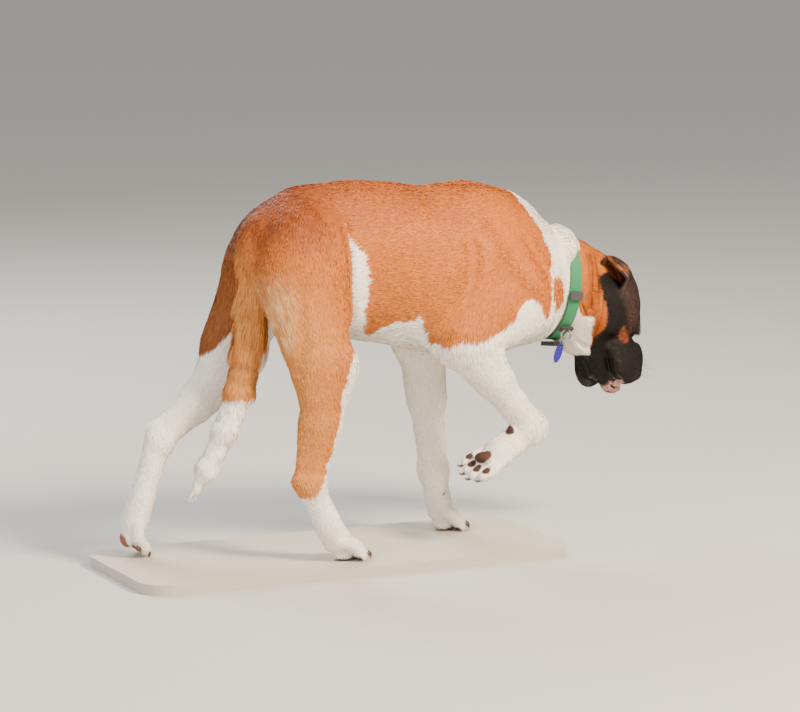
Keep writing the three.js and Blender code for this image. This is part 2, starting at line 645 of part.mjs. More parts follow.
function lid(side, rise) {
  const out = headWay(0.62, side * 0.62, 0.45).normalize();
  const along = headWay(0.7, side * -0.7, 0).normalize();
  const up = v(0, 0, 0).crossVectors(along, out).multiplyScalar(side);
  const points = [-1, -0.7, -0.35, 0, 0.35, 0.7, 1].map((t) => {
    const open = rise * Math.sqrt(Math.max(0, 1 - t * t));
    const over = Math.sqrt(Math.max(0, (EYE_RADIUS + 1) ** 2 - (t * 12) ** 2 - open * open));
    return eyePlace(side).addScaledVector(along, t * 12.5).addScaledVector(up, open)
      .addScaledVector(out, over);
  });
  const ring = new THREE.Shape().absarc(0, 0, LID_RADIUS, 0, 2 * Math.PI);
  const path = new THREE.CatmullRomCurve3(points);
  return solidOf(new THREE.ExtrudeGeometry(ring, { steps: 6, curveSegments: 5, extrudePath: path }));
}

const HEAD_GRID = [lines(-112, 218, 16, 9), lines(-112, 112, 11), lines(-157, 82, 11)];

function makeJaw() {
  const flesh = new Flesh();
  addJaw(flesh);
  const grid = [lines(28, 200, 12), lines(-50, 50, 10), lines(-125, -30, 10)];
  const jaw = skinOf(flesh, grid, headTurned.clone().setPosition(HEAD_CENTRE));
  return largest(jaw.subtract(block(onHead(62, 0, -75), headWay(-1, 0, 0))));
}

function makeHead(jaw, eyes) {
  let head = skinOf(headFlesh, HEAD_GRID, headTurned.clone().setPosition(HEAD_CENTRE));
  head = head.subtract(before('head'));
  for (const side of [LEFT, RIGHT]) head = head.add(lid(side, 6.5)).add(lid(side, -6.5));
  for (const piece of [jaw, ...eyes]) head = head.subtract(swollen(piece));
  return largest(head);
}

function makeNose(head) {
  const flesh = new Flesh();
  addNose(flesh);
  const grid = [lines(158, 214, 9), lines(-35, 35, 8.6), lines(-32, 25, 8.4)];
  let nose = skinOf(flesh, grid, headTurned.clone().setPosition(HEAD_CENTRE)).subtract(swollen(head));
  for (const side of [LEFT, RIGHT]) {
    const nostril = new THREE.SphereGeometry(1, 8, 6).scale(9, 4.6, 6);
    nostril.applyMatrix4(headTurned.clone().setPosition(onHead(202, side * 10, -4)));
    nose = nose.subtract(solidOf(nostril));
  }
  return largest(nose);
}

// A flap that stands out from the side of the skull, folds over and hangs straight down
function makeEar(side, clearOf) {
  const inner = headWay(-52, side * 50, 26);
  const crest = headWay(-42, side * 83, 38);
  const hang = (x, y, z) => v(x, y * side, z).applyMatrix4(yawed);
  const line = new THREE.CubicBezierCurve3(
    inner, mix(inner, crest, 0.9).add(hang(0, 0, 12)), crest.clone().add(hang(6, 4, -34)),
    crest.clone().add(hang(10, -4, -EAR.length)),
  );
  const widths = eased([0, 0.12, 0.3, 0.5, 0.7, 0.85, 0.95, 1], [26, 33, 38, 42, 38, 29, 17, 5]);
  const cup = eased([0, 0.3, 1], [20, 13, 8]);
  const atRoot = headWay(0.9, 0, -0.1).normalize();
  const atFold = hang(0.62, -0.78, 0).normalize();
  const atTip = hang(0.89, -0.45, 0).normalize();
  const [rows, columns] = [11, 6];
  const faces = [];
  const shells = [[], []];
  for (let i = 0; i <= rows; i += 1) {
    const t = i / rows;
    const hung = mix(atFold, atTip, THREE.MathUtils.smoothstep(t, 0.35, 0.95));
    const across = mix(atRoot, hung, THREE.MathUtils.smoothstep(t, 0.1, 0.5)).normalize();
    const out = v(0, 0, 0).crossVectors(across, line.getTangent(t)).normalize();
    if (out.dot(hang(0.78, 0.62, 0.2)) < 0) out.negate();
    for (let j = 0; j <= columns; j += 1) {
      const u = 2 * j / columns - 1;
      const middle = line.getPoint(t).add(HEAD_CENTRE).addScaledVector(across, widths(t) * u)
        .addScaledVector(out, -cup(t) * u * u);
      const thick = EAR.thick * (1 - 0.45 * u * u) / 2;
      shells[0].push(middle.clone().addScaledVector(out, thick));
      shells[1].push(middle.clone().addScaledVector(out, -thick));
    }
  }
  const wide = columns + 1;
  const total = shells[0].length;
  const quad = (a, b, c, d) => faces.push(a, b, c, a, c, d);
  for (let i = 0; i < rows; i += 1) {
    for (let j = 0; j < columns; j += 1) {
      const [a, b, c, d] = [i * wide + j, i * wide + j + 1, (i + 1) * wide + j + 1, (i + 1) * wide + j];
      quad(a, b, c, d);
      faces.push(total + c, total + b, total + a, total + d, total + c, total + a);
    }
  }
  const rim = [];
  for (let j = 0; j < columns; j += 1) rim.push(j);
  for (let i = 0; i < rows; i += 1) rim.push(i * wide + columns);
  for (let j = columns; j > 0; j -= 1) rim.push(rows * wide + j);
  for (let i = rows; i > 0; i -= 1) rim.push(i * wide);
  rim.forEach((a, n) => {
    const b = rim[(n + 1) % rim.length];
    quad(b, a, total + a, total + b);
  });
  let ear = upright([...shells[0], ...shells[1]], faces);
  for (const piece of clearOf) ear = ear.subtract(swollen(piece, 2 * GAP));
  return largest(ear);
}

// The collar's middle, its way round the neck and its way out, at a turn in degrees from the left side
function onCollar(degrees) {
  const way = COLLAR.way.clone().normalize();
  const across = ACROSS.clone().addScaledVector(way, -way.y).normalize();
  const up = v(0, 0, 0).crossVectors(way, across);
  const angle = THREE.MathUtils.degToRad(degrees);
  const out = across.clone().multiplyScalar(Math.cos(angle)).addScaledVector(up, Math.sin(angle));
  const reach = [-0.5, 0, 0.5].map((share) => (
    reachOf(headFlesh, COLLAR.at.clone().addScaledVector(way, share * COLLAR.width), out, 180)
  ));
  return { way, out, along: v(0, 0, 0).crossVectors(way, out), radius: (reach[0] + reach[1] + reach[2]) / 3 - 2 };
}

function makeBand(thick = COLLAR.thick) {
  const turns = 32;
  const section = [[-0.5, 1], [0, 1], [0.5, 1], [0.5, 0], [0, 0], [-0.5, 0]];
  const points = [];
  const faces = [];
  for (let i = 0; i < turns; i += 1) {
    const { way, out, radius } = onCollar(360 * i / turns);
    for (const [share, outside] of section) {
      const r = radius + (outside ? thick : 0);
      points.push(COLLAR.at.clone().addScaledVector(way, share * COLLAR.width).addScaledVector(out, r));
    }
    for (let k = 0; k < 6; k += 1) {
      const [a, b] = [i * 6 + k, i * 6 + (k + 1) % 6];
      const [c, d] = [a, b].map((n) => (n + 6) % (turns * 6));
      faces.push(a, c, b, b, c, d);
    }
  }
  return upright(points, faces);
}

// A flat rounded plate laid on the collar, its length round the neck
function onBand(degrees, length, width, thick, corner, lift = GAP) {
  const { way, out, along, radius } = onCollar(degrees);
  const [x, y] = [length / 2 - corner, width / 2 - corner];
  const outline = new THREE.Shape();
  outline.absarc(x, y, corner, 0, Math.PI / 2).absarc(-x, y, corner, Math.PI / 2, Math.PI);
  outline.absarc(-x, -y, corner, Math.PI, 1.5 * Math.PI).absarc(x, -y, corner, 1.5 * Math.PI, 2 * Math.PI);
  const plate = new THREE.ExtrudeGeometry(outline, { depth: thick, bevelEnabled: false, curveSegments: 3 });
  const place = new THREE.Matrix4().makeBasis(along, way, out);
  place.setPosition(COLLAR.at.clone().addScaledVector(out, radius + COLLAR.thick + lift));
  return solidOf(plate.applyMatrix4(place));
}

function ringPlace() {
  const { way, out, radius } = onCollar(COLLAR.ringTurn);
  const top = COLLAR.at.clone().addScaledVector(out, radius + COLLAR.thick + 3.5);
  return { way, top, centre: top.addScaledVector(v(0, 0, -1), COLLAR.ringRadius) };
}

function makeRing() {
  const { way, centre } = ringPlace();
  const down = v(0, 0, 1);
  const ring = new THREE.TorusGeometry(COLLAR.ringRadius, COLLAR.wire, 5, 14);
  const face = v(0, 0, 0).crossVectors(way, down).normalize();
  const place = new THREE.Matrix4().makeBasis(v(0, 0, 0).crossVectors(down, face), down, face);
  return solidOf(ring.applyMatrix4(place.setPosition(centre)));
}

// The tag swings back from the low rear of the big ring, on a small ring of its own
const TAG_SWING = THREE.MathUtils.degToRad(20);
const LINK_SWING = THREE.MathUtils.degToRad(40);
const TAG_HANGS = v(-Math.sin(TAG_SWING), 0, -Math.cos(TAG_SWING));
const LINK_ROOM = 0.2; // more room in the small ring, as the big one crosses it aslant
const smallRingCentre = () => ringPlace().centre
  .addScaledVector(v(-Math.sin(LINK_SWING), 0, -Math.cos(LINK_SWING)), COLLAR.ringRadius)
  .addScaledVector(TAG_HANGS, TAG.ringRadius - TAG.wire - COLLAR.wire - GAP - LINK_ROOM);

function makeTagRing() {
  const ring = new THREE.TorusGeometry(TAG.ringRadius, TAG.wire, 4, 12);
  const up = TAG_HANGS.clone().negate();
  const place = new THREE.Matrix4().makeBasis(ACROSS, up, v(0, 0, 0).crossVectors(ACROSS, up));
  return solidOf(ring.applyMatrix4(place.setPosition(smallRingCentre())));
}

function makeTag() {
  const [long, wide] = [TAG.length / 2, TAG.width / 2];
  const outline = new THREE.Shape().absellipse(0, -long + 2 + TAG.hole, wide, long, 0, 2 * Math.PI);
  outline.holes.push(new THREE.Path().absarc(0, 0, TAG.hole, 0, 2 * Math.PI, true));
  const plate = new THREE.ExtrudeGeometry(outline, { depth: TAG.thick, bevelEnabled: false, curveSegments: 6 });
  plate.translate(0, 0, -TAG.thick / 2);
  const hang = TAG.ringRadius + TAG.hole - TAG.wire - GAP;
  const up = TAG_HANGS.clone().negate();
  const place = new THREE.Matrix4().makeBasis(v(0, 0, 0).crossVectors(up, ACROSS), up, ACROSS);
  return solidOf(plate.applyMatrix4(place.setPosition(smallRingCentre().addScaledVector(TAG_HANGS, hang))));
}

function makeBase() {
  const [x, y, r] = [BASE.length / 2, BASE.width / 2, BASE.corner];
  const outline = new THREE.Shape();
  outline.moveTo(x - r, -y);
  outline.absarc(x - r, y - r, r, 0, Math.PI / 2).absarc(r - x, y - r, r, Math.PI / 2, Math.PI);
  outline.absarc(r - x, r - y, r, Math.PI, 1.5 * Math.PI).absarc(x - r, r - y, r, 1.5 * Math.PI, 2 * Math.PI);
  const plate = new THREE.ExtrudeGeometry(outline, { depth: BASE.thick, bevelEnabled: false, curveSegments: 5 });
  return solidOf(plate.translate(BASE.along, 0, -BASE.thick - GAP));
}

// Finishes
const finish = (color, roughness, metalness = 0) => (
  new THREE.MeshStandardMaterial({ color, roughness, metalness })
);
const orangeFur = finish('#b5703a', 0.85);
const whiteFur = finish('#e8e2d8', 0.85);
const darkFur = finish('#2c211d', 0.8);
const noseSkin = finish('#17130f', 0.45);
const eyeBall = finish('#2a1608', 0.15);
const basePaint = finish('#c9c6c0', 0.6);
const greenNylon = finish('#3f9f73', 0.7);
const blackPlastic = finish('#15161a', 0.4);
const steel = finish('#b9bcc0', 0.3, 1);
const tagMetal = finish('#4f4fae', 0.35, 0.6);

const dog = new THREE.Group();
function show(name, solid, material) {
  const mesh = new THREE.Mesh(geometryOf(solid), material);
  mesh.name = name;
  dog.add(mesh);
  return solid;
}

const tail = show('tail', makeTail(), orangeFur);
show('torso', makeTorso(tail), orangeFur);
const band = makeBand();
const neck = show('neck', makeNeck(), whiteFur);
const jaw = makeJaw();
const eyes = [LEFT, RIGHT].map(makeEye);
const head = makeHead(jaw, eyes);
show('head', head, darkFur);
show('lower_jaw', jaw, whiteFur);
show('nose', makeNose(head), noseSkin);
show('eye_left', eyes[0], eyeBall);
show('eye_right', eyes[1], eyeBall);
show('ear_left', makeEar(LEFT, [head, neck]), darkFur);
show('ear_right', makeEar(RIGHT, [head, neck]), darkFur);
show('foreleg_left', makeForeleg('left', FORE_LEFT), whiteFur);
show('foreleg_right', makeForeleg('right', FORE_RIGHT), whiteFur);
show('hindleg_left', makeHindleg('left', HIND_LEFT, tail), whiteFur);
show('hindleg_right', makeHindleg('right', HIND_RIGHT, tail), orangeFur);
Object.keys(PAWS).forEach((name) => show(`paw_${name}`, makePaw(name), whiteFur));
show('collar_band', band, greenNylon);
const FUR_CLEAR = 2; // between the fittings and the fur beside the webbing
const onTop = (solid) => largest(solid.subtract(swollen(band)).subtract(swollen(neck, FUR_CLEAR)));
show('collar_slide', onTop(onBand(COLLAR.slideTurn, 17, 28, 4, 2)), steel);
show('collar_buckle', onTop(onBand(COLLAR.buckleTurn, 42, 31, 9, 6, 1)), blackPlastic);
const ring = show('collar_ring', makeRing(), steel);
show('collar_keeper', onTop(onBand(COLLAR.ringTurn, 12, 29, 5, 2, 1)).subtract(swollen(ring)), blackPlastic);
show('tag_ring', makeTagRing(), steel);
show('tag', makeTag(), tagMetal);
show('stand_base', makeBase(), basePaint);

// The object's own frame: the middle of its outer box, with the underside of the base at 0
const outer = new THREE.Box3().setFromObject(dog);
const centre = outer.getCenter(v(0, 0, 0));
dog.position.set(-centre.x, -centre.y, BASE.thick + GAP);
export default dog;
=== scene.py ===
# %% [markdown]
# # A young Saint Bernard, walking with its head down
# The dog is life size and stands in the middle of a stride, its right forepaw lifted and curled back. It
# wears a webbing collar with a tag. Its coat is short and smooth, with longer hair on the tail and thighs.
# Everything here is in metres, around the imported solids, which stay where they are.

import json
import math

import bpy
import numpy as np
import openvdb
from mathutils import Matrix, Vector
from mathutils.kdtree import KDTree

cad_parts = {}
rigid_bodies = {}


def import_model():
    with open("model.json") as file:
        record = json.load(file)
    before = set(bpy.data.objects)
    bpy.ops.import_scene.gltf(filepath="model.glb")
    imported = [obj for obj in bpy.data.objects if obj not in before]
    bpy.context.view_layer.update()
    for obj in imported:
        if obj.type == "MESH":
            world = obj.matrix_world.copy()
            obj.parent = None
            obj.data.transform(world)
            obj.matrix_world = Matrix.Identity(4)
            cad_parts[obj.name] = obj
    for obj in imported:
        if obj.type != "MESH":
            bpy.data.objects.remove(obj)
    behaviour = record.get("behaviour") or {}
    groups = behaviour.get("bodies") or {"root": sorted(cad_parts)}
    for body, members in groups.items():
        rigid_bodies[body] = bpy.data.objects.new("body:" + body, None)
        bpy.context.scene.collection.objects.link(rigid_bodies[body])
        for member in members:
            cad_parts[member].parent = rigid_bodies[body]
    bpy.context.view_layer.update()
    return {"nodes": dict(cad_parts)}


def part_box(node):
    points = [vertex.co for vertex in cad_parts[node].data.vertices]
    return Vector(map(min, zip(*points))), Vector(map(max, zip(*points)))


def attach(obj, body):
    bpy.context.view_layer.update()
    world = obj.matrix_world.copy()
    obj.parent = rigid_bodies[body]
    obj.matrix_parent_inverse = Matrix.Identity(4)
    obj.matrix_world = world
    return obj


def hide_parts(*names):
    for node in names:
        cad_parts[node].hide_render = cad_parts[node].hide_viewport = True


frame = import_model()

# %% [markdown]
# ## Where the dog stands
# The sculptor's own zero is on the board between the feet. It is found from the board, whose middle lies
# 150 mm behind that zero, so every landmark of the body below is a real distance from the same place.

# %% The zero between the feet
board_low, board_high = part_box("stand_base")
BOARD_BEHIND = 0.150
GAP = 0.0003
FEET = np.array([(board_low.x + board_high.x) / 2 + BOARD_BEHIND, 0.0, board_high.z + GAP])
print("the dog's zero is at", FEET.round(4))


def to_world(points):
    """Places measured from the dog's zero, as places in the scene."""
    return np.asarray(points, float) + FEET


def turned(axis, degrees):
    """A turn round one axis."""
    return np.array(Matrix.Rotation(math.radians(degrees), 3, axis))


def unit(way):
    """A way with a length of one."""
    way = np.asarray(way, float)
    return way / np.maximum(np.linalg.norm(way, axis=-1, keepdims=True), 1e-12)


# %% [markdown]
# ## The camera
# The photograph was taken from behind the dog's right shoulder, 25 degrees round from its side and a
# little above it, from far enough away that near and far legs have almost the same scale.

# %% The camera
CAMERA_ROUND = -25
CAMERA_ABOVE = 9
CAMERA_AWAY = 7.6
AIM_HEIGHT = 0.366
PIXELS_PER_METRE = 520
IMAGE_WIDTH = 800
SENSOR = 36


def camera_way():
    """The way from the dog to the camera."""
    turn, rise = math.radians(CAMERA_ROUND), math.radians(CAMERA_ABOVE)
    return np.array([math.sin(turn) * math.cos(rise), -math.cos(turn) * math.cos(rise), math.sin(rise)])


camera_data = bpy.data.cameras.new("camera")
camera_data.sensor_width = SENSOR
camera_data.lens = PIXELS_PER_METRE * CAMERA_AWAY / IMAGE_WIDTH * SENSOR
camera = bpy.data.objects.new("camera", camera_data)
bpy.context.scene.collection.objects.link(camera)
aim = Vector(to_world([0, 0, AIM_HEIGHT]))
camera.location = aim + Vector(camera_way()) * CAMERA_AWAY
camera.rotation_euler = (aim - camera.location).to_track_quat("-Z", "Y").to_euler()
bpy.context.scene.camera = camera
print("the lens is", round(camera_data.lens, 1), "mm")

# %% [markdown]
# ## Colours, materials and meshes
# Paint and hair colours are written as the hex values that a colour picker shows, and one function turns
# them to the linear light that the renderer works in. Another adds a node with its settings and links.

# %% Helpers for colours, nodes and meshes
def colour(code):
    """The linear light of an sRGB colour given as a hex value."""
    srgb = np.array([int(code[i:i + 2], 16) / 255 for i in (1, 3, 5)])
    linear = np.where(srgb <= 0.04045, srgb / 12.92, ((srgb + 0.055) / 1.055) ** 2.4)
    return tuple(linear) + (1.0,)


def add(tree, kind, inputs=None, stops=(), **settings):
    """A node with its settings. An input is a value or a link, and stops are the colours of a ramp."""
    node = tree.nodes.new(kind)
    for name, value in settings.items():
        setattr(node, name, value)
    for name, value in (inputs or {}).items():
        if isinstance(value, bpy.types.NodeSocket):
            tree.links.new(value, node.inputs[name])
        else:
            node.inputs[name].default_value = value
    if stops:
        elements = node.color_ramp.elements
        elements[0].position, elements[1].position = stops[0][0], stops[-1][0]
        elements[0].color, elements[1].color = colour(stops[0][1]), colour(stops[-1][1])
        for place, code in stops[1:-1]:
            elements.new(place).color = colour(code)
    return node


def new_material(name, **principled):
    """A material with its main settings, and its tree and shader for what is added later."""
    material = bpy.data.materials.new(name)
    material.use_nodes = True
    shader = material.node_tree.nodes["Principled BSDF"]
    for socket, value in principled.items():
        shader.inputs[socket.replace("_", " ")].default_value = value
    return material, material.node_tree, shader


def shown(name, mesh, slot):
    """The object that shows a mesh. It moves with the whole dog; its slot is not used."""
    piece = bpy.data.objects.new(name, mesh)
    bpy.context.scene.collection.objects.link(piece)
    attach(piece, "root")
    return piece


def new_piece(name, points, faces, material, slot):
    """A smooth piece from points round the dog's zero, with faces of any number of sides."""
    mesh = bpy.data.meshes.new(name)
    mesh.from_pydata(to_world(points).tolist(), [], faces)
    mesh.polygons.foreach_set("use_smooth", [True] * len(mesh.polygons))
    mesh.update()
    mesh.materials.append(material)
    return shown(name, mesh, slot)


def quick_mesh(name, points, faces, sides):
    """A mesh from arrays, all faces with the same number of sides, in place round the dog's zero."""
    mesh = bpy.data.meshes.new(name)
    mesh.vertices.add(len(points))
    mesh.vertices.foreach_set("co", to_world(points).astype(np.float32).ravel())
    mesh.loops.add(faces.size)
    mesh.loops.foreach_set("vertex_index", faces.astype(np.int32).ravel())
    mesh.polygons.add(len(faces))
    mesh.polygons.foreach_set("loop_start", np.arange(0, faces.size, sides, dtype=np.int32))
    mesh.polygons.foreach_set("use_smooth", np.ones(len(faces), bool))
    mesh.update(calc_edges=True)
    return mesh


print("white paint is", colour("#FFFFFF"), "in linear light")

# %% [markdown]
# ## Flesh as blended distances
# A body could be modelled by pushing points about, but muscles that run into each other are easier to
# state as what they are: tapered limbs and rounded lumps, each a distance, joined where they meet by a
# soft blend. A surface is then drawn wherever the blended distance is zero.

# %% Parts of flesh
ACROSS = np.array([0.0, 1.0, 0.0])
DOWNWARD = np.array([-0.2, 0.0, -1.0])
LEFT, RIGHT = 1, -1
LIE_SPREAD = 0.012  # how far from a limb its hair still follows it
CELL = 0.06  # side of the small cubes that the points are worked through in
CELLS = 1000  # more cubes than the dog needs along any way


def line_distance(points, line):
    """How far each point lies from a bent line."""
    nearest = np.full(len(points), 1.0)
    for a, b in zip(line, line[1:]):
        along = b - a
        t = np.clip((points - a) @ along / (along @ along), 0, 1)
        nearest = np.minimum(nearest, np.linalg.norm(points - a - t[:, None] * along, axis=1))
    return nearest


class Flesh:
    """Flesh is a list of parts, each with its box, its blend, its distance and the way its hair lies."""

    def __init__(self, parts=()):
        self.parts = list(parts)

    def put(self, low, high, shrink, blend, distance, join="add", lie=None):
        self.parts.append((np.minimum(low, high), np.maximum(low, high), shrink, blend, distance, join, lie))

    def limb(self, a, b, radius_a, radius_b, blend, flat=1.0, side=ACROSS, join="add", lie=None):
        """A tapered limb from a to b, pressed flat along a side where flat is under 1."""
        a, b, side = np.asarray(a, float), np.asarray(b, float), unit(side)
        along = b - a

        def distance(p):
            q = p - a
            t = np.clip(q @ along / (along @ along), 0, 1)
            q = q - t[:, None] * along
            q = q + ((1 / flat - 1) * (q @ side))[:, None] * side
            d = np.linalg.norm(q, axis=1) - (radius_a + (radius_b - radius_a) * t)
            return np.where(d > 0, d * flat, d)

        low = np.minimum(a - radius_a, b - radius_b)
        high = np.maximum(a + radius_a, b + radius_b)
        self.put(low, high, flat, blend, distance, join, unit(along) if lie is None else lie)

    def lump(self, centre, radii, blend, turn=np.eye(3), join="add", lie=None):
        """An egg-shaped lump, its three radii along its own turned ways."""
        centre, radii = np.asarray(centre, float), np.asarray(radii, float)

        def distance(p):
            q = (p - centre) @ turn / radii
            k0 = np.linalg.norm(q, axis=1)
            k1 = np.linalg.norm(q / radii, axis=1)
            return k0 * (k0 - 1) / np.maximum(k1, 1e-6)

        reach = radii.max()
        self.put(centre - reach, centre + reach, 0.4, blend, distance, join, DOWNWARD if lie is None else lie)

    def pinch(self, centre, way, depth, width, reach):
        """A band round a limb drawn in by a depth, soft at both edges."""
        centre, way = np.asarray(centre, float), unit(way)
        self.put(centre - reach, centre + reach, 1, 0,
                 lambda p: depth * np.exp(-(((p - centre) @ way) / width) ** 2), "pinch")

    def crease(self, line, width, depth, squash=(1, 0.35, 1)):
        """A groove along a bent line near the surface, or a fold where the depth is less than 0."""
        line, squash = np.asarray(line, float), np.asarray(squash, float)

        def amount(p):
            return depth * np.exp(-(line_distance(p * squash, line * squash) / width) ** 2)

        room = 2.5 * width / squash
        self.put(line.min(0) - room, line.max(0) + room, 1, 0, amount, "pinch")

    def grouped(self, points, work, result, reach):
        """Run work on the points of one small cell at a time, with only the parts that come near it."""
        lows, highs = np.array([part[0] for part in self.parts]), np.array([part[1] for part in self.parts])
        shrinks, blends = np.array([part[2:4] for part in self.parts], float).T
        cell = np.floor(points / CELL).astype(int) + CELLS // 2
        which = (cell[:, 0] * CELLS + cell[:, 1]) * CELLS + cell[:, 2]
        order = np.argsort(which, kind="stable")
        edges = np.flatnonzero(np.diff(which[order])) + 1
        for group in np.split(order, edges):
            near = points[group]
            gap = np.maximum(np.maximum(lows - near.max(0), near.min(0) - highs), 0)
            close = np.sqrt((gap * gap).sum(1)) * shrinks <= reach + blends
            result[group] = work(near, [self.parts[i] for i in np.flatnonzero(close)])
        return result

    def at(self, points, reach=0.04):
        """How far outside the flesh each point is, less than 0 inside it, true within the reach."""
        return self.grouped(np.asarray(points, float), self.depth, np.empty(len(points)), reach)

    def depth(self, points, parts):
        """The parts near one group of points, blended in the order in which they were put."""
        depth = np.full(len(points), 1.0)
        for low, high, shrink, blend, distance, join, _ in parts:
            outside = np.maximum(np.maximum(low - points, points - high), 0)
            away = np.sqrt((outside * outside).sum(1)) * shrink
            if join == "pinch":
                near = away <= 0
                depth[near] += distance(points[near])
                continue
            cut = join == "cut"
            near = away <= (blend - depth if cut else depth + blend)
            if not near.any():
                continue
            old, d = depth[near], distance(points[near])
            over = np.maximum(blend - np.abs(old + d if cut else old - d), 0) / blend
            swell = over * over * blend / 4
            depth[near] = np.maximum(old, -d) + swell if cut else np.minimum(old, d) - swell
        return depth

    def lie_at(self, points):
        """The way the hair lies: the limbs' own directions, weighted by how near each one is."""
        def work(near, parts):
            total = np.zeros_like(near)
            for _, _, _, _, distance, join, lie in parts:
                if join == "add":
                    total += np.exp(-np.maximum(distance(near), 0) / LIE_SPREAD)[:, None] * lie
            return total
        return self.grouped(points, work, np.empty((len(points), 3)), 0.02)


print("flesh can be stated as limbs, lumps, cuts, pinches and creases")

# %% [markdown]
# ## Lines through a few measures
# A sculptor measures the body at a few places and draws a fair line through them. This line goes through
# every measure and never swings past one, so a back measured at twelve places has no waves between them.

# %% A smooth line through a few numbers
def eased(places, values):
    """A smooth line through numbers at growing places, with no overshoot between them."""
    x, y = np.asarray(places, float), np.asarray(values, float)
    rise = np.diff(y) / np.diff(x)
    both = rise[:-1] * rise[1:]
    inner = np.where(both <= 0, 0, 2 * both / np.where(both <= 0, 1, rise[:-1] + rise[1:]))
    slope = np.concatenate([rise[:1], inner, rise[-1:]])

    def line(at):
        n = np.clip(np.searchsorted(x, at, side="right") - 1, 0, len(x) - 2)
        width = x[n + 1] - x[n]
        t = np.clip((at - x[n]) / width, 0, 1)
        bend = (1 - t) ** 2 * t * width * slope[n] - (1 - t) * t * t * width * slope[n + 1]
        return y[n] + (y[n + 1] - y[n]) * t * t * (3 - 2 * t) + bend

    return line


print("halfway from 0 to 1 the line is at", eased([0, 1, 2], [0, 1, 1])(0.5).round(3))

# %% [markdown]
# ## The trunk, tail and neck
# The trunk is a row of rounded sections from rump to chest. The back dips a little behind the withers and
# the belly is tucked up, as on a young dog of this breed. The neck reaches forward and down.

# %% The trunk, tail and neck
BACKWARD = unit([-1, 0, -0.18])
# Place along the dog, top, underside and half width of each section
TRUNK = np.array([
    [-0.318, 0.590, 0.535, 0.030], [-0.298, 0.632, 0.492, 0.056], [-0.262, 0.668, 0.458, 0.082],
    [-0.205, 0.697, 0.432, 0.098], [-0.115, 0.716, 0.404, 0.102], [-0.030, 0.709, 0.386, 0.116],
    [0.060, 0.695, 0.364, 0.123], [0.140, 0.680, 0.354, 0.118], [0.205, 0.660, 0.356, 0.104],
    [0.262, 0.626, 0.372, 0.084], [0.305, 0.575, 0.396, 0.062], [0.328, 0.535, 0.440, 0.040],
])
SQUARENESS = 2.15
# Middle line of the tail with its radius
TAIL = np.array([
    [-0.292, 0.622, 0.030], [-0.301, 0.569, 0.037], [-0.303, 0.493, 0.038], [-0.316, 0.399, 0.035],
    [-0.333, 0.323, 0.033], [-0.363, 0.249, 0.030], [-0.402, 0.180, 0.022], [-0.437, 0.121, 0.003],
])


def add_trunk(flesh):
    top, under, half = (eased(TRUNK[:, 0], TRUNK[:, i]) for i in (1, 2, 3))
    first, last = TRUNK[0, 0], TRUNK[-1, 0]

    def distance(p):
        x = np.clip(p[:, 0], first, last)
        middle = top(x) * 0.52 + under(x) * 0.48
        height = np.where(p[:, 2] > middle, top(x) - middle, middle - under(x))
        across = np.abs(p[:, 1] / half(x)) ** SQUARENESS
        up = np.abs((p[:, 2] - middle) / height) ** SQUARENESS
        d = ((across + up) ** (1 / SQUARENESS) - 1) * np.minimum(half(x), height)
        past = np.abs(p[:, 0] - x)
        return np.where(past > 0, np.hypot(np.maximum(d, 0), past), d)

    flesh.put([first, -0.13, 0.34], [last, 0.13, 0.73], 0.5, 0.030, distance, lie=BACKWARD)
    flesh.limb([-0.215, 0, 0.630], [-0.290, 0, 0.615], 0.058, 0.034, 0.060)  # croup
    flesh.limb([0.095, 0, 0.642], [0.200, 0, 0.630], 0.036, 0.032, 0.050, lie=BACKWARD)  # withers


def add_neck(flesh):
    flesh.limb([0.215, 0, 0.545], [0.325, 0.010, 0.490], 0.108, 0.094, 0.060, 0.74, lie=BACKWARD)
    flesh.limb([0.325, 0.010, 0.488], [0.403, 0.018, 0.450], 0.093, 0.080, 0.040, 0.76, lie=BACKWARD)


def add_tail(flesh):
    for (ax, az, ra), (bx, bz, rb) in zip(TAIL, TAIL[1:]):
        flesh.limb([ax, 0, az], [bx, 0, bz], ra, rb, 0.012 if ax < -0.295 else 0.026)


body = Flesh()
add_trunk(body)
add_neck(body)
print("trunk and neck:", len(body.parts), "parts")

# %% [markdown]
# ## The legs
# Each leg follows the bones under the skin: shoulder blade, upper arm and forearm in front; thigh, shin
# with its heel tendon, and the long foot behind. The left hind leg pushes off far back while the right
# one stands under the belly; the left foreleg carries the weight, and the right one swings.

# %% The legs
HIND_LEFT = dict(side=LEFT, hip=[-0.230, 0.066, 0.583], knee=[-0.292, 0.096, 0.372],
                 hock=[-0.456, 0.099, 0.218], ball=[-0.508, 0.100, 0.072], haunch=[-0.008, 0.082],
                 rear=[-0.046, 0.054])
HIND_RIGHT = dict(side=RIGHT, hip=[-0.235, -0.066, 0.588], knee=[-0.190, -0.098, 0.366],
                  hock=[-0.228, -0.098, 0.148], ball=[-0.180, -0.098, 0.040], haunch=[0.004, 0.068],
                  rear=[-0.024, 0.048])
FORE_LEFT = dict(side=LEFT, shoulder=[0.230, 0.088, 0.468], elbow=[0.088, 0.092, 0.374],
                 carpus=[0.112, 0.086, 0.122])
FORE_RIGHT = dict(side=RIGHT, shoulder=[0.236, -0.088, 0.478], elbow=[0.092, -0.096, 0.398],
                  carpus=[0.234, -0.097, 0.226])
WRIST_RIGHT = np.array([0.170, -0.093, 0.180])


def mix(a, b, t):
    return np.asarray(a, float) * (1 - t) + np.asarray(b, float) * t


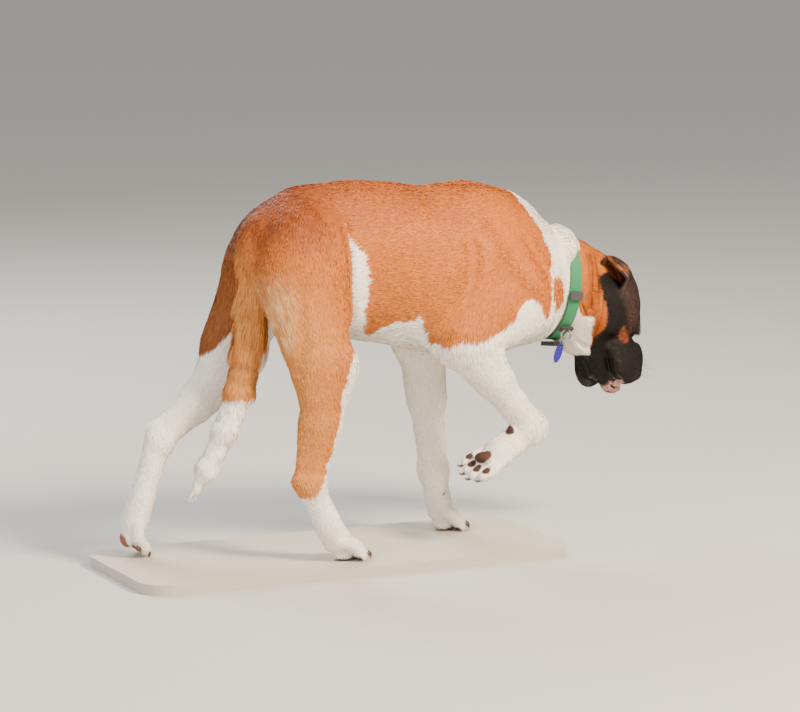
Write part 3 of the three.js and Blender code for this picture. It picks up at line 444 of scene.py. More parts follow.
def add_foreleg(flesh, side, shoulder, elbow, carpus):
    elbow = np.array(elbow)
    blade = np.array([0.150, side * 0.052, 0.642])
    flesh.limb(blade, shoulder, 0.034, 0.046, 0.060, 0.62, [0, 1, 0.12 * side], lie=unit([-0.5, 0, -1]))
    flesh.limb(shoulder, elbow, 0.052, 0.044, 0.050, 0.82, lie=unit([-0.6, 0, -1]))
    flesh.limb([0.125, side * 0.076, 0.560], elbow + [-0.010, 0, 0.024], 0.042, 0.036, 0.060, 0.78)
    flesh.lump(elbow + [-0.026, 0, 0.014], [0.018, 0.016, 0.024], 0.022)
    flesh.limb(elbow, mix(elbow, carpus, 0.42), 0.043, 0.037, 0.034)
    flesh.limb(mix(elbow, carpus, 0.3), carpus, 0.038, 0.029, 0.025)
    flesh.lump(carpus, [0.031, 0.031, 0.033], 0.016)


def add_hindleg(flesh, side, hip, knee, hock, ball, haunch, rear):
    hip, knee, hock, ball = (np.array(p) for p in (hip, knee, hock, ball))
    down = unit([-0.25, 0, -1])

    def shin(t, x, z):
        return mix(knee, hock, t) + [x, 0, z]

    flesh.lump(hip + [haunch[0], side * 0.004, -0.014], [haunch[1], 0.048, 0.092], 0.050, lie=down)
    flesh.limb(hip + [0, side * 0.010, -0.060], shin(0, -0.010, 0.028), 0.078, 0.054, 0.045, 0.66)
    flesh.limb(hip + [rear[0], side * 0.004, -0.060], shin(0.2, -0.016, 0), rear[1], 0.042, 0.045, 0.7)
    flesh.lump(shin(0, 0.014, 0.004), [0.030, 0.030, 0.034], 0.026)
    flesh.limb(knee, shin(0.55, 0, 0), 0.046, 0.034, 0.030, 0.8)
    flesh.limb(shin(0.5, 0, 0), hock, 0.036, 0.024, 0.024, 0.86)
    foot = unit(hock - ball)
    behind = unit(np.array([1.0, 0, 0]) - foot * foot[0])
    heel = hock + foot * 0.020 - behind * 0.020
    flesh.limb(heel, shin(0.45, -0.024, -0.004), 0.013, 0.022, 0.020, 0.6, lie=-foot)
    flesh.limb(heel, ball, 0.015, 0.017, 0.014)
    flesh.lump(hock, [0.025, 0.024, 0.028], 0.014)
    flesh.limb(hock, ball, 0.024, 0.024, 0.016, 0.92)


add_foreleg(body, **FORE_LEFT)
add_foreleg(body, **FORE_RIGHT)
body.limb(FORE_RIGHT["carpus"], WRIST_RIGHT, 0.028, 0.028, 0.016)
add_hindleg(body, **HIND_LEFT)
add_hindleg(body, **HIND_RIGHT)
print("with legs:", len(body.parts), "parts")

# %% [markdown]
# ## The paws
# A paw is four toes, each bent over its middle joint, with a pad under every tip and a heart-shaped pad
# behind them. The outer toes end short of the middle two. The lifted forepaw and the hind paw that pushes
# off both turn their pads to the camera, so the pads are real bulges here and not only paint.

# %% The paws
PAWS = dict(
    fore_left=dict(joint=[0.112, 0.086, 0.122], root=[0.124, 0.083, 0.044], middle=[0.146, 0.082, 0.032],
                   tip=[0.164, 0.081, 0.012], pad=[0.130, 0.082, 0.014], size=[0.022, 0.024, 0.016],
                   width=0.076, toe=0.0130, across=[0, 1, 0], down=[0, 0, -1]),
    fore_right=dict(joint=[0.190, -0.094, 0.194], root=[0.166, -0.093, 0.179], middle=[0.132, -0.092, 0.159],
                    tip=[0.108, -0.092, 0.146], pad=[0.131, -0.101, 0.174], size=[0.019, 0.021, 0.013],
                    width=0.070, toe=0.0128, across=[-0.218, 0.893, 0.396], down=[-0.50, -0.45, 0.74]),
    hind_right=dict(joint=[-0.200, -0.098, 0.072], root=[-0.176, -0.098, 0.038],
                    middle=[-0.150, -0.098, 0.031], tip=[-0.129, -0.098, 0.012], pad=[-0.166, -0.098, 0.014],
                    size=[0.022, 0.023, 0.016], width=0.070, toe=0.0126, across=[0, 1, 0], down=[0, 0, -1]),
    hind_left=dict(joint=[-0.496, 0.100, 0.100], root=[-0.511, 0.100, 0.062], middle=[-0.509, 0.101, 0.034],
                   tip=[-0.494, 0.101, 0.012], pad=[-0.527, 0.100, 0.036], size=[0.014, 0.022, 0.019],
                   width=0.070, toe=0.0126, across=[0, 1, 0], down=[-0.8, 0, -0.6]),
)
TOES = [-1.5, -0.5, 0.5, 1.5]
OUTER_BACK = 0.010  # how far the outer toes end behind the middle two


def toe_line(paw, i):
    root, middle, tip, down = (np.array(paw[k]) for k in ("root", "middle", "tip", "down"))
    ahead = unit(tip - middle - unit(down) * ((tip - middle) @ unit(down)))
    back = ahead * (OUTER_BACK if abs(i) > 1 else 0)
    out = np.array(paw["across"]) * i * paw["width"]
    return root + out * 0.20 - 0.3 * back, middle + out * 0.250 - 0.8 * back, tip + out * 0.262 - back


pads = []  # the paw, the place and the size of every pad, for its bare skin


def add_paw(flesh, name, paw):
    width, toe, down = paw["width"], paw["toe"], unit(paw["down"])
    joint, hand = np.array(paw["joint"]), mix(paw["joint"], paw["root"], 0.88)
    flesh.limb(joint, hand, width * 0.37, width * 0.40, 0.014, 0.86, np.cross(hand - joint, paw["across"]))
    palm = mix(paw["root"], paw["pad"], 0.4), mix(paw["middle"], paw["tip"], 0.25)
    flesh.limb(*palm, width * 0.34, width * 0.27, 0.008, 0.58, down)
    for i in TOES:
        root, middle, tip = toe_line(paw, i)
        flesh.limb(root, middle, toe * 1.0, toe * 1.05, 0.004)
        flesh.limb(middle, tip, toe * 1.05, toe * 0.92, 0.0015)
        flesh.lump(mix(middle, tip, 0.6) + down * toe * 0.55, [toe * 0.62, toe * 0.55, toe * 0.50], 0.002)
        pads.append((name, (mix(middle, tip, 0.6) + down * toe * 1.2, toe * 0.78)))
    flesh.lump(paw["pad"], paw["size"], 0.004)
    pads.append((name, (np.array(paw["pad"]) + down * 0.012, 0.017)))


for name, paw in PAWS.items():
    add_paw(body, name, paw)
# The pads behind the wrists, and the first toes, high on the inner side of each foreleg, from root to tip
WRIST_PADS = [[0.190, -0.104, 0.223], [0.098, 0.092, 0.150]]
DEWCLAWS = [([0.112, 0.064, 0.100], [0.119, 0.059, 0.086]), ([0.172, -0.092, 0.198], [0.161, -0.096, 0.190])]
for place in WRIST_PADS:
    body.lump(place, [0.010, 0.010, 0.011], 0.008)
for root, tip in DEWCLAWS:
    body.limb(root, tip, 0.008, 0.0065, 0.005)
add_tail(body)
print("with paws and tail:", len(body.parts), "parts,", len(pads), "pads")

# %% [markdown]
# ## The head
# The head points down and a little to the left. Its own places run along the muzzle, to its left and up
# from the line of the nose. A Saint Bernard has a broad domed skull with a furrow, a deep square muzzle,
# and upper lips that hang past the lower jaw.

# %% The head's own places
HEAD_CENTRE = np.array([0.434, 0.026, 0.451])
HEAD_TURN = 16
HEAD_NOD = 58
HEAD_ROLL = -14  # its right cheek is higher than its left
yawed = turned("Z", HEAD_TURN)
head_turn = yawed @ turned("Y", HEAD_NOD) @ turned("X", HEAD_ROLL)


def on_head(x, y, z):
    """A place on the head: along the muzzle, to its left, and up from the line of the nose."""
    return head_turn @ np.array([x, y, z]) + HEAD_CENTRE


def head_way(x, y, z):
    """A way that turns with the head."""
    return head_turn @ np.array([x, y, z])


def eye_place(side):
    """The middle of the ball of one eye."""
    return on_head(0.076, side * 0.036, -0.004)


print("the right eye is", eye_place(RIGHT).round(3), "from the dog's zero")

# %% [markdown]
# ## Skull, muzzle and lips
# The skull and the muscles of the cheek come first, then the bridge of the nose and the lips, which hang
# over the lower jaw. Each part blends into those stated before it, as flesh does over bone.

# %% Skull, muzzle and lips
EYE_RADIUS = 0.012
TO_NECK = head_way(-1, 0, 0.1)
LIP_LEAN = 11.46  # degrees that the hanging lip leans back


def add_skull(flesh):
    def lump(x, y, z, a, b, c, blend, tilt=0.0, join="add", lie=TO_NECK):
        flesh.lump(on_head(x, y, z), [a, b, c], blend, head_turn @ turned("Y", tilt), join, lie)

    def limb(a, b, ra, rb, blend, join="add", lie=TO_NECK):
        flesh.limb(on_head(*a), on_head(*b), ra, rb, blend, join=join, lie=lie)

    lump(-0.008, 0, -0.006, 0.066, 0.061, 0.056, 0.030)  # brain case
    limb([-0.058, 0, 0.020], [-0.012, 0, 0.028], 0.016, 0.024, 0.030)  # crest of the back of the head
    for side in (LEFT, RIGHT):
        down_cheek = head_way(-0.7, side * 0.2, -0.7)
        lump(0.038, side * 0.029, 0.016, 0.034, 0.028, 0.025, 0.024)  # forehead
        limb([0, side * 0.055, -0.016], [0.070, side * 0.044, -0.020], 0.027, 0.021, 0.026, lie=down_cheek)
        lump(0.002, side * 0.050, -0.046, 0.048, 0.026, 0.042, 0.028, lie=down_cheek)  # chewing muscle
        lump(0.068, side * 0.041, 0.016, 0.017, 0.015, 0.012, 0.014)  # brow
    limb([0.004, 0, 0.064], [0.078, 0, 0.043], 0.012, 0.014, 0.018, "cut")  # furrow of the forehead
    limb([0.080, 0, -0.006], [0.174, 0, -0.004], 0.021, 0.019, 0.020)  # bridge of the nose
    for side in (LEFT, RIGHT):
        down_lip = head_way(-0.4, 0, -1)
        limb([0.084, side * 0.024, -0.020], [0.166, side * 0.021, -0.020], 0.029, 0.026, 0.016, lie=down_lip)
        lump(0.160, side * 0.020, -0.036, 0.026, 0.023, 0.028, 0.014, lie=down_lip)  # front of the lip
        hang = 0.008 if side == LEFT else 0.0  # the lip on the low side hangs further down
        lump(0.124 + hang, side * 0.047, -0.041 - hang, 0.044, 0.017, 0.047, 0.016, LIP_LEAN, lie=down_lip)
        limb([0.094, side * 0.030, -0.058], [0.146, side * 0.027, -0.066], 0.012, 0.011, 0.006, lie=down_lip)
        limb([0.086, side * 0.038, -0.058], [0.128, side * 0.036, -0.074], 0.015, 0.014, 0.012, lie=down_lip)
        lump(0.098, side * 0.042, 0.004, 0.016, 0.012, 0.014, 0.014, join="cut")  # hollow before the eye
    throat = head_way(-1, 0, 0)
    flesh.limb(on_head(-0.010, 0, -0.070), on_head(0.052, 0, -0.073), 0.034, 0.029, 0.026, 0.9,
               head_way(0, 0, 1), lie=throat)
    flesh.limb(on_head(-0.024, 0, -0.056), [0.382, 0.014, 0.412], 0.060, 0.064, 0.040, 0.8,
               head_way(0, 1, 0), lie=throat)
    flesh.limb(on_head(-0.030, 0, -0.004), [0.378, 0.016, 0.476], 0.056, 0.064, 0.050, 0.85,
               head_way(0, 1, 0), lie=throat)


def add_jaw(flesh):
    along = head_way(-1, 0, 0)
    flesh.limb(on_head(0.044, 0, -0.073), on_head(0.152, 0, -0.071), 0.028, 0.021, 0.006, 0.9,
               head_way(0, 0, 1), lie=along)
    flesh.lump(on_head(0.166, 0, -0.069), [0.020, 0.024, 0.016], 0.006, head_turn, lie=along)


print("the lip leans", LIP_LEAN, "degrees")

# %% [markdown]
# ## Folds of loose skin
# Skin is a size too large on this breed. Where it is pushed together it folds, and between two big muscles
# it dips. Each fold is a groove or a roll along a bent line, soft at both sides.

# %% Folds of loose skin
# Line, width and depth of each fold; where the depth is less than 0 the skin rolls outward
HEAD_FOLDS = [
    ([[0.392, -0.034, 0.545], [0.389, -0.051, 0.517], [0.385, -0.058, 0.489], [0.380, -0.062, 0.442]],
     0.0035, 0.0055),  # rear wrinkle before the collar
    ([[0.412, -0.030, 0.540], [0.406, -0.045, 0.515], [0.402, -0.055, 0.487], [0.399, -0.059, 0.462]],
     0.0032, 0.0050),  # front wrinkle
    ([[0.400, -0.037, 0.545], [0.396, -0.050, 0.517], [0.392, -0.057, 0.485], [0.389, -0.061, 0.455]],
     0.0050, -0.0030),  # the roll between them
    ([[0.363, -0.055, 0.450], [0.371, -0.057, 0.430], [0.383, -0.060, 0.424], [0.394, -0.063, 0.434],
      [0.401, -0.062, 0.456]], 0.0030, 0.0035),  # pouch below the wrinkles
    ([[0.406, -0.070, 0.464], [0.401, -0.069, 0.430], [0.398, -0.055, 0.396], [0.400, -0.036, 0.366]],
     0.0030, 0.0035),  # rear edge of the cheek
    ([[0.390, -0.064, 0.472], [0.398, -0.067, 0.470], [0.410, -0.068, 0.472]],
     0.0028, 0.0035),  # short line on the cheek
    ([[0.365, -0.040, 0.378], [0.382, -0.034, 0.366], [0.402, -0.026, 0.360]],
     0.0035, 0.0040),  # groove across the throat
    ([[0.370, -0.030, 0.362], [0.388, -0.022, 0.350], [0.405, -0.010, 0.344]],
     0.0045, -0.0035),  # roll of the throat
]
BODY_FOLDS = [
    ([[-0.150, 0.090, 0.640], [-0.146, 0.100, 0.585], [-0.142, 0.100, 0.515], [-0.132, 0.090, 0.450]],
     0.0080, 0.0042),  # before the thigh
    ([[0.030, 0.118, 0.405], [0.050, 0.122, 0.440], [0.080, 0.126, 0.480], [0.100, 0.124, 0.530],
      [0.104, 0.110, 0.590]], 0.0110, 0.0050),  # behind the shoulder
    ([[0.140, 0.110, 0.620], [0.180, 0.120, 0.560], [0.222, 0.120, 0.500]],
     0.0160, -0.0040),  # over the shoulder blade
    ([[0.230, 0.100, 0.600], [0.262, 0.110, 0.530], [0.262, 0.115, 0.460]],
     0.0100, 0.0035),  # before the shoulder
    ([[-0.262, 0.105, 0.560], [-0.262, 0.118, 0.500], [-0.256, 0.118, 0.430], [-0.262, 0.110, 0.370]],
     0.0090, 0.0030),  # between the muscles of the thigh
    ([[-0.222, 0.085, 0.672], [-0.246, 0.080, 0.660]], 0.0120, -0.0035),  # point of the hip
]


def add_folds(flesh):
    """Loose skin: wrinkles before the collar, rolls of the throat, and the lines between big muscles."""
    for line, width, depth in HEAD_FOLDS:
        flesh.crease(line, width, depth)
    for side in (LEFT, RIGHT):
        for line, width, depth in BODY_FOLDS:
            flesh.crease(np.array(line) * [1, side, 1], width, depth)


print(len(HEAD_FOLDS), "folds on the head and", len(BODY_FOLDS), "on each side of the body")

# %% [markdown]
# ## The head joins the body
# The collar draws the neck in a little, and a roll of the nape slides over its top. The neck is kept once
# without that roll, because the webbing lies under it.

# %% The head joins the body
COLLAR = dict(at=np.array([0.338, 0.011, 0.476]), way=unit([0.989, 0.09, -0.12]), width=0.025, thick=0.005,
              sink=0.010)
head = Flesh(body.parts)
add_skull(head)
head.pinch(COLLAR["at"], COLLAR["way"], COLLAR["sink"], COLLAR["width"], 0.150)
neck_flesh = Flesh(head.parts)
# Middle line and radius of the loose skin that slides over the webbing
NAPE_ROLL = np.array([
    [0.341, -0.049, 0.552, 0.010], [0.344, -0.036, 0.566, 0.014], [0.345, -0.014, 0.577, 0.016],
    [0.345, 0.016, 0.579, 0.016], [0.344, 0.044, 0.565, 0.014], [0.341, 0.060, 0.545, 0.010],
])
for a, b in zip(NAPE_ROLL, NAPE_ROLL[1:]):
    head.limb(a[:3], b[:3], a[3], b[3], 0.026, lie=BACKWARD)
add_jaw(head)
add_folds(head)
print("with the head:", len(head.parts), "parts")

# %% [markdown]
# ## The lids
# The eye is a ball that sits in a socket, and two folds of skin close over it from above and below. The
# lower lid of this breed hangs a little, so that it shows a wet rim.

# %% The eye sockets and lids
LID_RISE = {"upper": 0.0084, "lower": -0.0094}
LID_RADIUS = 0.0038


def eye_ways(side):
    out = unit(head_way(0.62, side * 0.62, 0.45))
    along = unit(head_way(0.7, side * -0.7, 0))
    return out, along, np.cross(along, out) * side


def lid_line(side, rise, over=0.001, steps=9):
    """Points of a lid, from corner to corner, just over the ball of the eye."""
    out, along, up = eye_ways(side)
    t = np.linspace(-1, 1, steps)
    lift = rise * np.sqrt(np.maximum(0, 1 - t * t))
    ahead = np.sqrt(np.maximum(0, (EYE_RADIUS + over) ** 2 - (t * 0.012) ** 2 - lift * lift))
    return (eye_place(side) + along * (t * 0.0140)[:, None] + up * lift[:, None] + out * ahead[:, None])


for side in (LEFT, RIGHT):
    out, along, up = eye_ways(side)
    for name, rise in LID_RISE.items():
        line = lid_line(side, rise)
        for a, b in zip(line, line[1:]):
            head.limb(a, b, LID_RADIUS, LID_RADIUS, 0.004, lie=TO_NECK)
    centre, room = eye_place(side), EYE_RADIUS + 0.0004
    head.limb(centre - along * 0.0045, centre + along * 0.0045, room, room, 0.001, join="cut")
print("with lids:", len(head.parts), "parts")

# %% [markdown]
# ## The ears
# Each ear is a soft flap, set high, that stands out a little from the skull, folds over and hangs beside
# the cheek. It is stated as a bent sheet of many small places, each with its own thickness, and the flesh
# of the head takes it in like any other part, so its root grows out of the skull with no seam.

# %% The sheet of an ear
EAR_LENGTH = 0.146
EAR_THICK = 0.0058
EAR_WAVE = 0.0028  # the free edges of the flap curl a little to and fro


def bezier(a, b, c, d, t):
    """A line that leaves a towards b and reaches d from c."""
    t = np.asarray(t)[..., None]
    return a * (1 - t) ** 3 + 3 * b * (1 - t) ** 2 * t + 3 * c * (1 - t) * t * t + d * t ** 3


def smooth(t, low, high):
    """A soft step from 0 at low to 1 at high."""
    s = np.clip((t - low) / (high - low), 0, 1)
    return s * s * (3 - 2 * s)


def ear_sheet(side, rows=64, columns=36):
    """The places, outward ways and half thicknesses of one ear, from its root to its tip."""
    inner, crest = head_way(-0.060, side * 0.050, 0.028), head_way(-0.054, side * 0.085, 0.045)

    def hang(x, y, z):
        return yawed @ np.array([x, y * side, z])

    ends = (inner, mix(inner, crest, 0.9) + hang(0, 0, 0.012), crest + hang(0.018, 0.008, -0.034),
            crest + hang(0.022, 0.004, -EAR_LENGTH))
    t = np.linspace(0, 1, rows)
    line = bezier(*ends, t)
    way = unit(np.gradient(line, axis=0))
    widths = eased([0, 0.12, 0.3, 0.5, 0.7, 0.85, 0.95, 1],
                   [0.028, 0.034, 0.038, 0.040, 0.038, 0.030, 0.018, 0.005])(t)
    cup = eased([0, 0.3, 1], [0.020, 0.013, 0.008])(t)
    at_root = unit(head_way(0.95, 0, 0.25))
    at_fold, at_tip = unit(hang(0.62, -0.78, 0)), unit(hang(0.89, -0.45, 0))
    hung = at_fold + (at_tip - at_fold) * smooth(t, 0.45, 0.72)[:, None]
    across = unit(at_root + (hung - at_root) * smooth(t, 0.1, 0.5)[:, None])
    out = unit(np.cross(across, way))
    out *= np.sign(out[-1] @ hang(0.78, 0.62, 0.2))
    u = np.linspace(-1, 1, columns)
    sheet = (line[:, None] + HEAD_CENTRE + across[:, None] * (widths[:, None] * u)[..., None]
             - out[:, None] * (cup[:, None] * u * u)[..., None])
    wave = EAR_WAVE * np.sin(t * 17)[:, None] * smooth(np.abs(u), 0.5, 1.0) * smooth(t, 0.4, 0.6)[:, None]
    sheet = sheet + out[:, None] * wave[..., None]
    rim = smooth(np.abs(u), 0.84, 1.0)
    thick = EAR_THICK * (1 - 0.40 * u * u + 0.45 * rim) / 2 + 0 * t[:, None]
    facing = unit(np.cross(np.gradient(sheet, axis=1), np.gradient(sheet, axis=0)))
    facing *= np.sign((facing * out[:, None]).sum(-1))[..., None]
    return sheet, facing, thick


print("an ear hangs", round(EAR_LENGTH * 1000), "mm")

# %% [markdown]
# ## The ears on the head
# A thin sheet can't be stated by a few limbs, so its distance is taken from the nearest of its places. The
# places along its free edge are kept as well, so that the hair can be made shorter near it and a painted rim
# of light laid along it.

# %% The ears on the head
def add_sheet(flesh, sheet, facing, thick, blend, lie):
    places, ways, radii = sheet.reshape(-1, 3), facing.reshape(-1, 3), thick.reshape(-1)
    spacing = np.linalg.norm(np.diff(sheet, axis=0), axis=-1).mean()
    tree = KDTree(len(places))
    for i, place in enumerate(places):
        tree.insert(place, i)
    tree.balance()

    def distance(p):
        nearest = np.fromiter((tree.find(q)[1] for q in p.tolist()), int, len(p))
        away = p - places[nearest]
        high = (away * ways[nearest]).sum(1)
        wide = np.sqrt(np.maximum((away * away).sum(1) - high * high, 0))
        return np.hypot(high, np.maximum(wide - spacing, 0)) - radii[nearest]

    flesh.put(places.min(0) - 0.004, places.max(0) + 0.004, 1, blend, distance, lie=lie)


ear_sheets = {side: ear_sheet(side) for side in (LEFT, RIGHT)}
for side in (LEFT, RIGHT):
    add_sheet(head, *ear_sheets[side], 0.010, np.array([0.1, 0, -1.0]))
rim_tree = KDTree(4 * len(ear_sheets[LEFT][0]))
for side in (LEFT, RIGHT):
    sheet = ear_sheets[side][0]
    for i, place in enumerate(np.vstack([sheet[:, 0], sheet[:, -1]])[len(sheet) // 3:]):
        rim_tree.insert(place, i)
rim_tree.balance()


def rim_distance(points):
    """How far places lie from the free edge of the nearer ear."""
    return np.fromiter((rim_tree.find(q)[2] for q in np.asarray(points).tolist()), float, len(points))


print("with ears:", len(head.parts), "parts")

# %% [markdown]
# ## From flesh to skin
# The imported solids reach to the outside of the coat, so the skin lies inside them by the depth of the
# hair. That depth is smallest on the ears, the face and the feet, and largest on the tail.

# %% The depth of the coat
tail_flesh = Flesh()
add_tail(tail_flesh)
ear_flesh = Flesh(head.parts[-2:])
paw_middles = [np.array(paw["root"]) for paw in PAWS.values()]


# Depth of the hair on each part; the tail's is added to the body's, and the leg's is taken from it
COAT_DEPTH = dict(body=0.0042, tail=0.0055, leg=0.0012, foot=0.0017, face=0.0022, lid=0.0006, ear=0.0007)


def past_collar(points):
    """How far places lie past the middle of the collar, towards the head."""
    return (np.asarray(points) - COLLAR["at"]) @ COLLAR["way"]


def hair_depth(points, reach=0.04):
    """The depth of the coat, which the skin lies inside the solids by."""
    depth = np.full(len(points), COAT_DEPTH["body"])
    tail = smooth(tail_flesh.at(points, reach), 0.006, -0.004) * smooth(points[:, 2], 0.60, 0.50)
    depth += tail * (COAT_DEPTH["tail"] * smooth(points[:, 2], 0.12, 0.26))
    leg = smooth(points[:, 2], 0.36, 0.24) * (1 - tail)
    depth -= leg * COAT_DEPTH["leg"]
    for middle in paw_middles:
        foot = smooth(np.linalg.norm(points - middle, axis=1), 0.110, 0.055)
        depth = depth * (1 - foot) + foot * COAT_DEPTH["foot"]
    face = smooth(past_collar(points), 0.0, 0.060)
    depth = depth * (1 - face) + face * COAT_DEPTH["face"]
    for side in (LEFT, RIGHT):
        lid = smooth(np.linalg.norm(points - eye_place(side), axis=1), 0.026, 0.016)
        depth = depth * (1 - lid) + lid * COAT_DEPTH["lid"]
    ear = smooth(ear_flesh.at(points, reach), 0.006, 0.0)
    return depth * (1 - ear) + ear * COAT_DEPTH["ear"]


def skin_depth(points, reach=0.04):
    return head.at(points, reach) + hair_depth(points, 0.01)


print("the coat is", COAT_DEPTH["body"] * 1000, "mm deep on the body")

# %% [markdown]
# ## Drawing a surface
# A surface is drawn through the places where a depth is zero, on a grid as fine as the shape asks. Working
# out the whole grid would be slow, so a coarse grid first finds where the surface runs.

# %% Drawing a surface
def surface(at, low, high, step, coarse=4):
    """Points and four-sided faces where a depth is zero, on a grid worked out only near them."""
    low, high = np.asarray(low, float), np.asarray(high, float)
    size = np.ceil((high - low) / step).astype(int) + 1
    few = size // coarse + 2
    axes = [low[i] + step * coarse * np.arange(few[i]) for i in range(3)]
    depth = at(np.stack(np.meshgrid(*axes, indexing="ij"), -1).reshape(-1, 3)).reshape(few)
    depth = np.clip(depth, -0.05, 0.05)
    for axis in range(3):
        place = np.arange(size[axis]) / coarse
        before = place.astype(int)
        part = (place - before).reshape([-1 if i == axis else 1 for i in range(3)])
        depth = depth.take(before, axis) * (1 - part) + depth.take(before + 1, axis) * part
    near = np.argwhere(np.abs(depth) < coarse * step * 0.9)
    depth[tuple(near.T)] = at(low + near * step, coarse * step * 1.5)
    grid = openvdb.FloatGrid(0.05)
    grid.copyFromArray(np.ascontiguousarray(depth, dtype=np.float32))
    points, quads = grid.convertToQuads(0.0)
    return np.asarray(points, float) * step + low, np.asarray(quads, dtype=np.int64)


def settle(points, at, rounds=1, step=0.0004):
    """Move points straight onto the surface where the depth is zero."""
    for _ in range(rounds):
        here = at(points, 0.01)
        slope = np.stack([at(points + step * np.eye(3)[i], 0.01) - here for i in range(3)], 1) / step
        move = here / np.maximum((slope * slope).sum(1), 0.2)
        points = points - np.clip(move, -0.003, 0.003)[:, None] * slope
    return points


def facing_out(points, quads, depth):
    """The faces, turned round if they look into the flesh."""
    some = quads[np.linspace(0, len(quads) - 1, 500).astype(int)]
    corners = points[some]
    facing = unit(np.cross(corners[:, 2] - corners[:, 0], corners[:, 3] - corners[:, 1]))
    middle = corners.mean(1)
    return quads[:, ::-1] if depth(middle + 0.001 * facing).mean() < depth(middle).mean() else quads


print("surfaces can be drawn, settled and faced")

# %% [markdown]
# ## Shells of skin
# The toes and the face need finer steps than the trunk. So the skin is drawn as shells, one for the body,
# one for each foot and one for the head, which run a little into each other where they meet.

# %% Shells of skin
SHELL_OVERLAP = 0.014  # neighbouring shells run on a little into each other
FOOT_REACH = 0.064
BODY_STEP = 0.0037
FINE_STEP = 0.0019
foot_middles = np.array([mix(paw["root"], paw["tip"], 0.45) for paw in PAWS.values()])


def past_foot(points):
    """How far points lie outside the round spaces of the four feet."""
    return np.min([np.linalg.norm(points - middle, axis=1) for middle in foot_middles], axis=0) - FOOT_REACH


def shell(space, low, high, step):
    """The skin inside a space, which is less than 0 in it, open at its edge."""
    def at(points, reach=0.04):
        return np.maximum(skin_depth(points, reach), space(points) - SHELL_OVERLAP)

    points, quads = surface(at, low, high, step)
    free = space(points) < SHELL_OVERLAP - step
    points[free] = settle(points[free], skin_depth)
    used, quads = np.unique(quads[free[quads].all(1)], return_inverse=True)
    return points[used], quads.reshape(-1, 4)


rough = 1.0
shells = [shell(lambda p: np.maximum(past_collar(p), -past_foot(p)),
                [-0.555, -0.158, -0.012], [0.375, 0.155, 0.732], BODY_STEP * rough)]
print("body:", len(shells[0][0]), "points")
for middle in foot_middles:
    reach = FOOT_REACH + 0.008
    shells.append(shell(past_foot, middle - reach, middle + reach, FINE_STEP * rough))
print("feet:", sum(len(points) for points, _ in shells[1:]), "points")
shells.append(shell(lambda p: -past_collar(p), [0.325, -0.130, 0.245], [0.553, 0.142, 0.592],
                    FINE_STEP * rough))
print("head:", len(shells[-1][0]), "points")

# %% [markdown]
# ## Soft irregularity
# Markings have ragged edges, and hair varies from clump to clump. Both come from one smooth random field
# with a size in metres, so the same place on the dog always has the same value.

# %% A smooth random field
CUBE = 64
cube = np.random.default_rng(11).random((CUBE, CUBE, CUBE))


def noise(points, size, layer=0):
    q = np.asarray(points) / size + 17.3 * layer
    cell = np.floor(q).astype(int)
    part = q - cell
    part = part * part * (3 - 2 * part)
    total = 0
    for corner in np.ndindex(2, 2, 2):
        share = np.where(corner, part, 1 - part).prod(1)
        i, j, k = ((cell + corner) % CUBE).T
        total = total + share * cube[i, j, k]
    return total - 0.5


print("the field runs from", noise(shells[0][0][:2000], 0.02).min().round(2), "to 0.5")

# %% [markdown]
# ## The markings
# The coat is orange, redder and darker along the back and paler down the thigh, with cream hair behind it.
# White are the ring of the neck, the chest, the legs, a stripe on the flank, the belly and the tail's end.
# The ears and the mask are nearly black. Each marking is a distance, so skin and hair agree on its edge.

# %% Colours, and the edges of the markings on the body
ORANGE, RED, DARK_RED = colour("#BC6620"), colour("#9A4A17"), colour("#6C3110")
PALE, CREAM = colour("#D08A43"), colour("#E4C08A")
WHITE, BLACK, BROWN_AND_SHADE = colour("#F4ECDF"), colour("#120D0A"), colour("#3A200E")
EAR, POCKET, PINK = colour("#33221E"), colour("#8A4526"), colour("#D9A79A")
TAN, PAINTED_RIM_LIGHT = colour("#7A4229"), colour("#B08B78")
FLANK = np.array([
    [-0.147, 0.637, 0.001], [-0.140, 0.604, 0.004], [-0.124, 0.578, 0.012], [-0.121, 0.550, 0.016],
    [-0.120, 0.513, 0.016], [-0.117, 0.470, 0.014], [-0.112, 0.430, 0.018], [-0.095, 0.395, 0.024],
])
belly_line = eased([-0.140, -0.087, -0.063, -0.036, -0.005, 0.001, 0.014, 0.033, 0.050],
                   [0.415, 0.412, 0.430, 0.448, 0.446, 0.463, 0.429, 0.391, 0.330])
chest_line = eased([0.000, 0.053, 0.080, 0.112, 0.148, 0.180, 0.194, 0.213, 0.237, 0.249, 0.262],
                   [0.400, 0.411, 0.416, 0.419, 0.426, 0.440, 0.472, 0.485, 0.470, 0.450, 0.440])
ring_line = eased([0.400, 0.436, 0.476, 0.522, 0.557, 0.594, 0.631, 0.660],
                  [0.256, 0.259, 0.263, 0.270, 0.280, 0.275, 0.254, 0.232])
shin_line = eased([0.100, 0.139, 0.235, 0.311, 0.388, 0.430],
                  [-0.160, -0.147, -0.117, -0.102, -0.090, -0.080])


print("orange is", np.round(ORANGE[:3], 3), "in linear light")

# %% [markdown]
# ## White on the body
# Each white marking is a shape of its own, with a depth inside its edge. The largest of these depths counts,
# so that two markings that touch become one, with no line between them.

# %% White on the body
def head_places(points):
    """Places as they lie on the head: along the muzzle, to its left, and up from the line of the nose."""
    return (np.asarray(points) - HEAD_CENTRE) @ head_turn


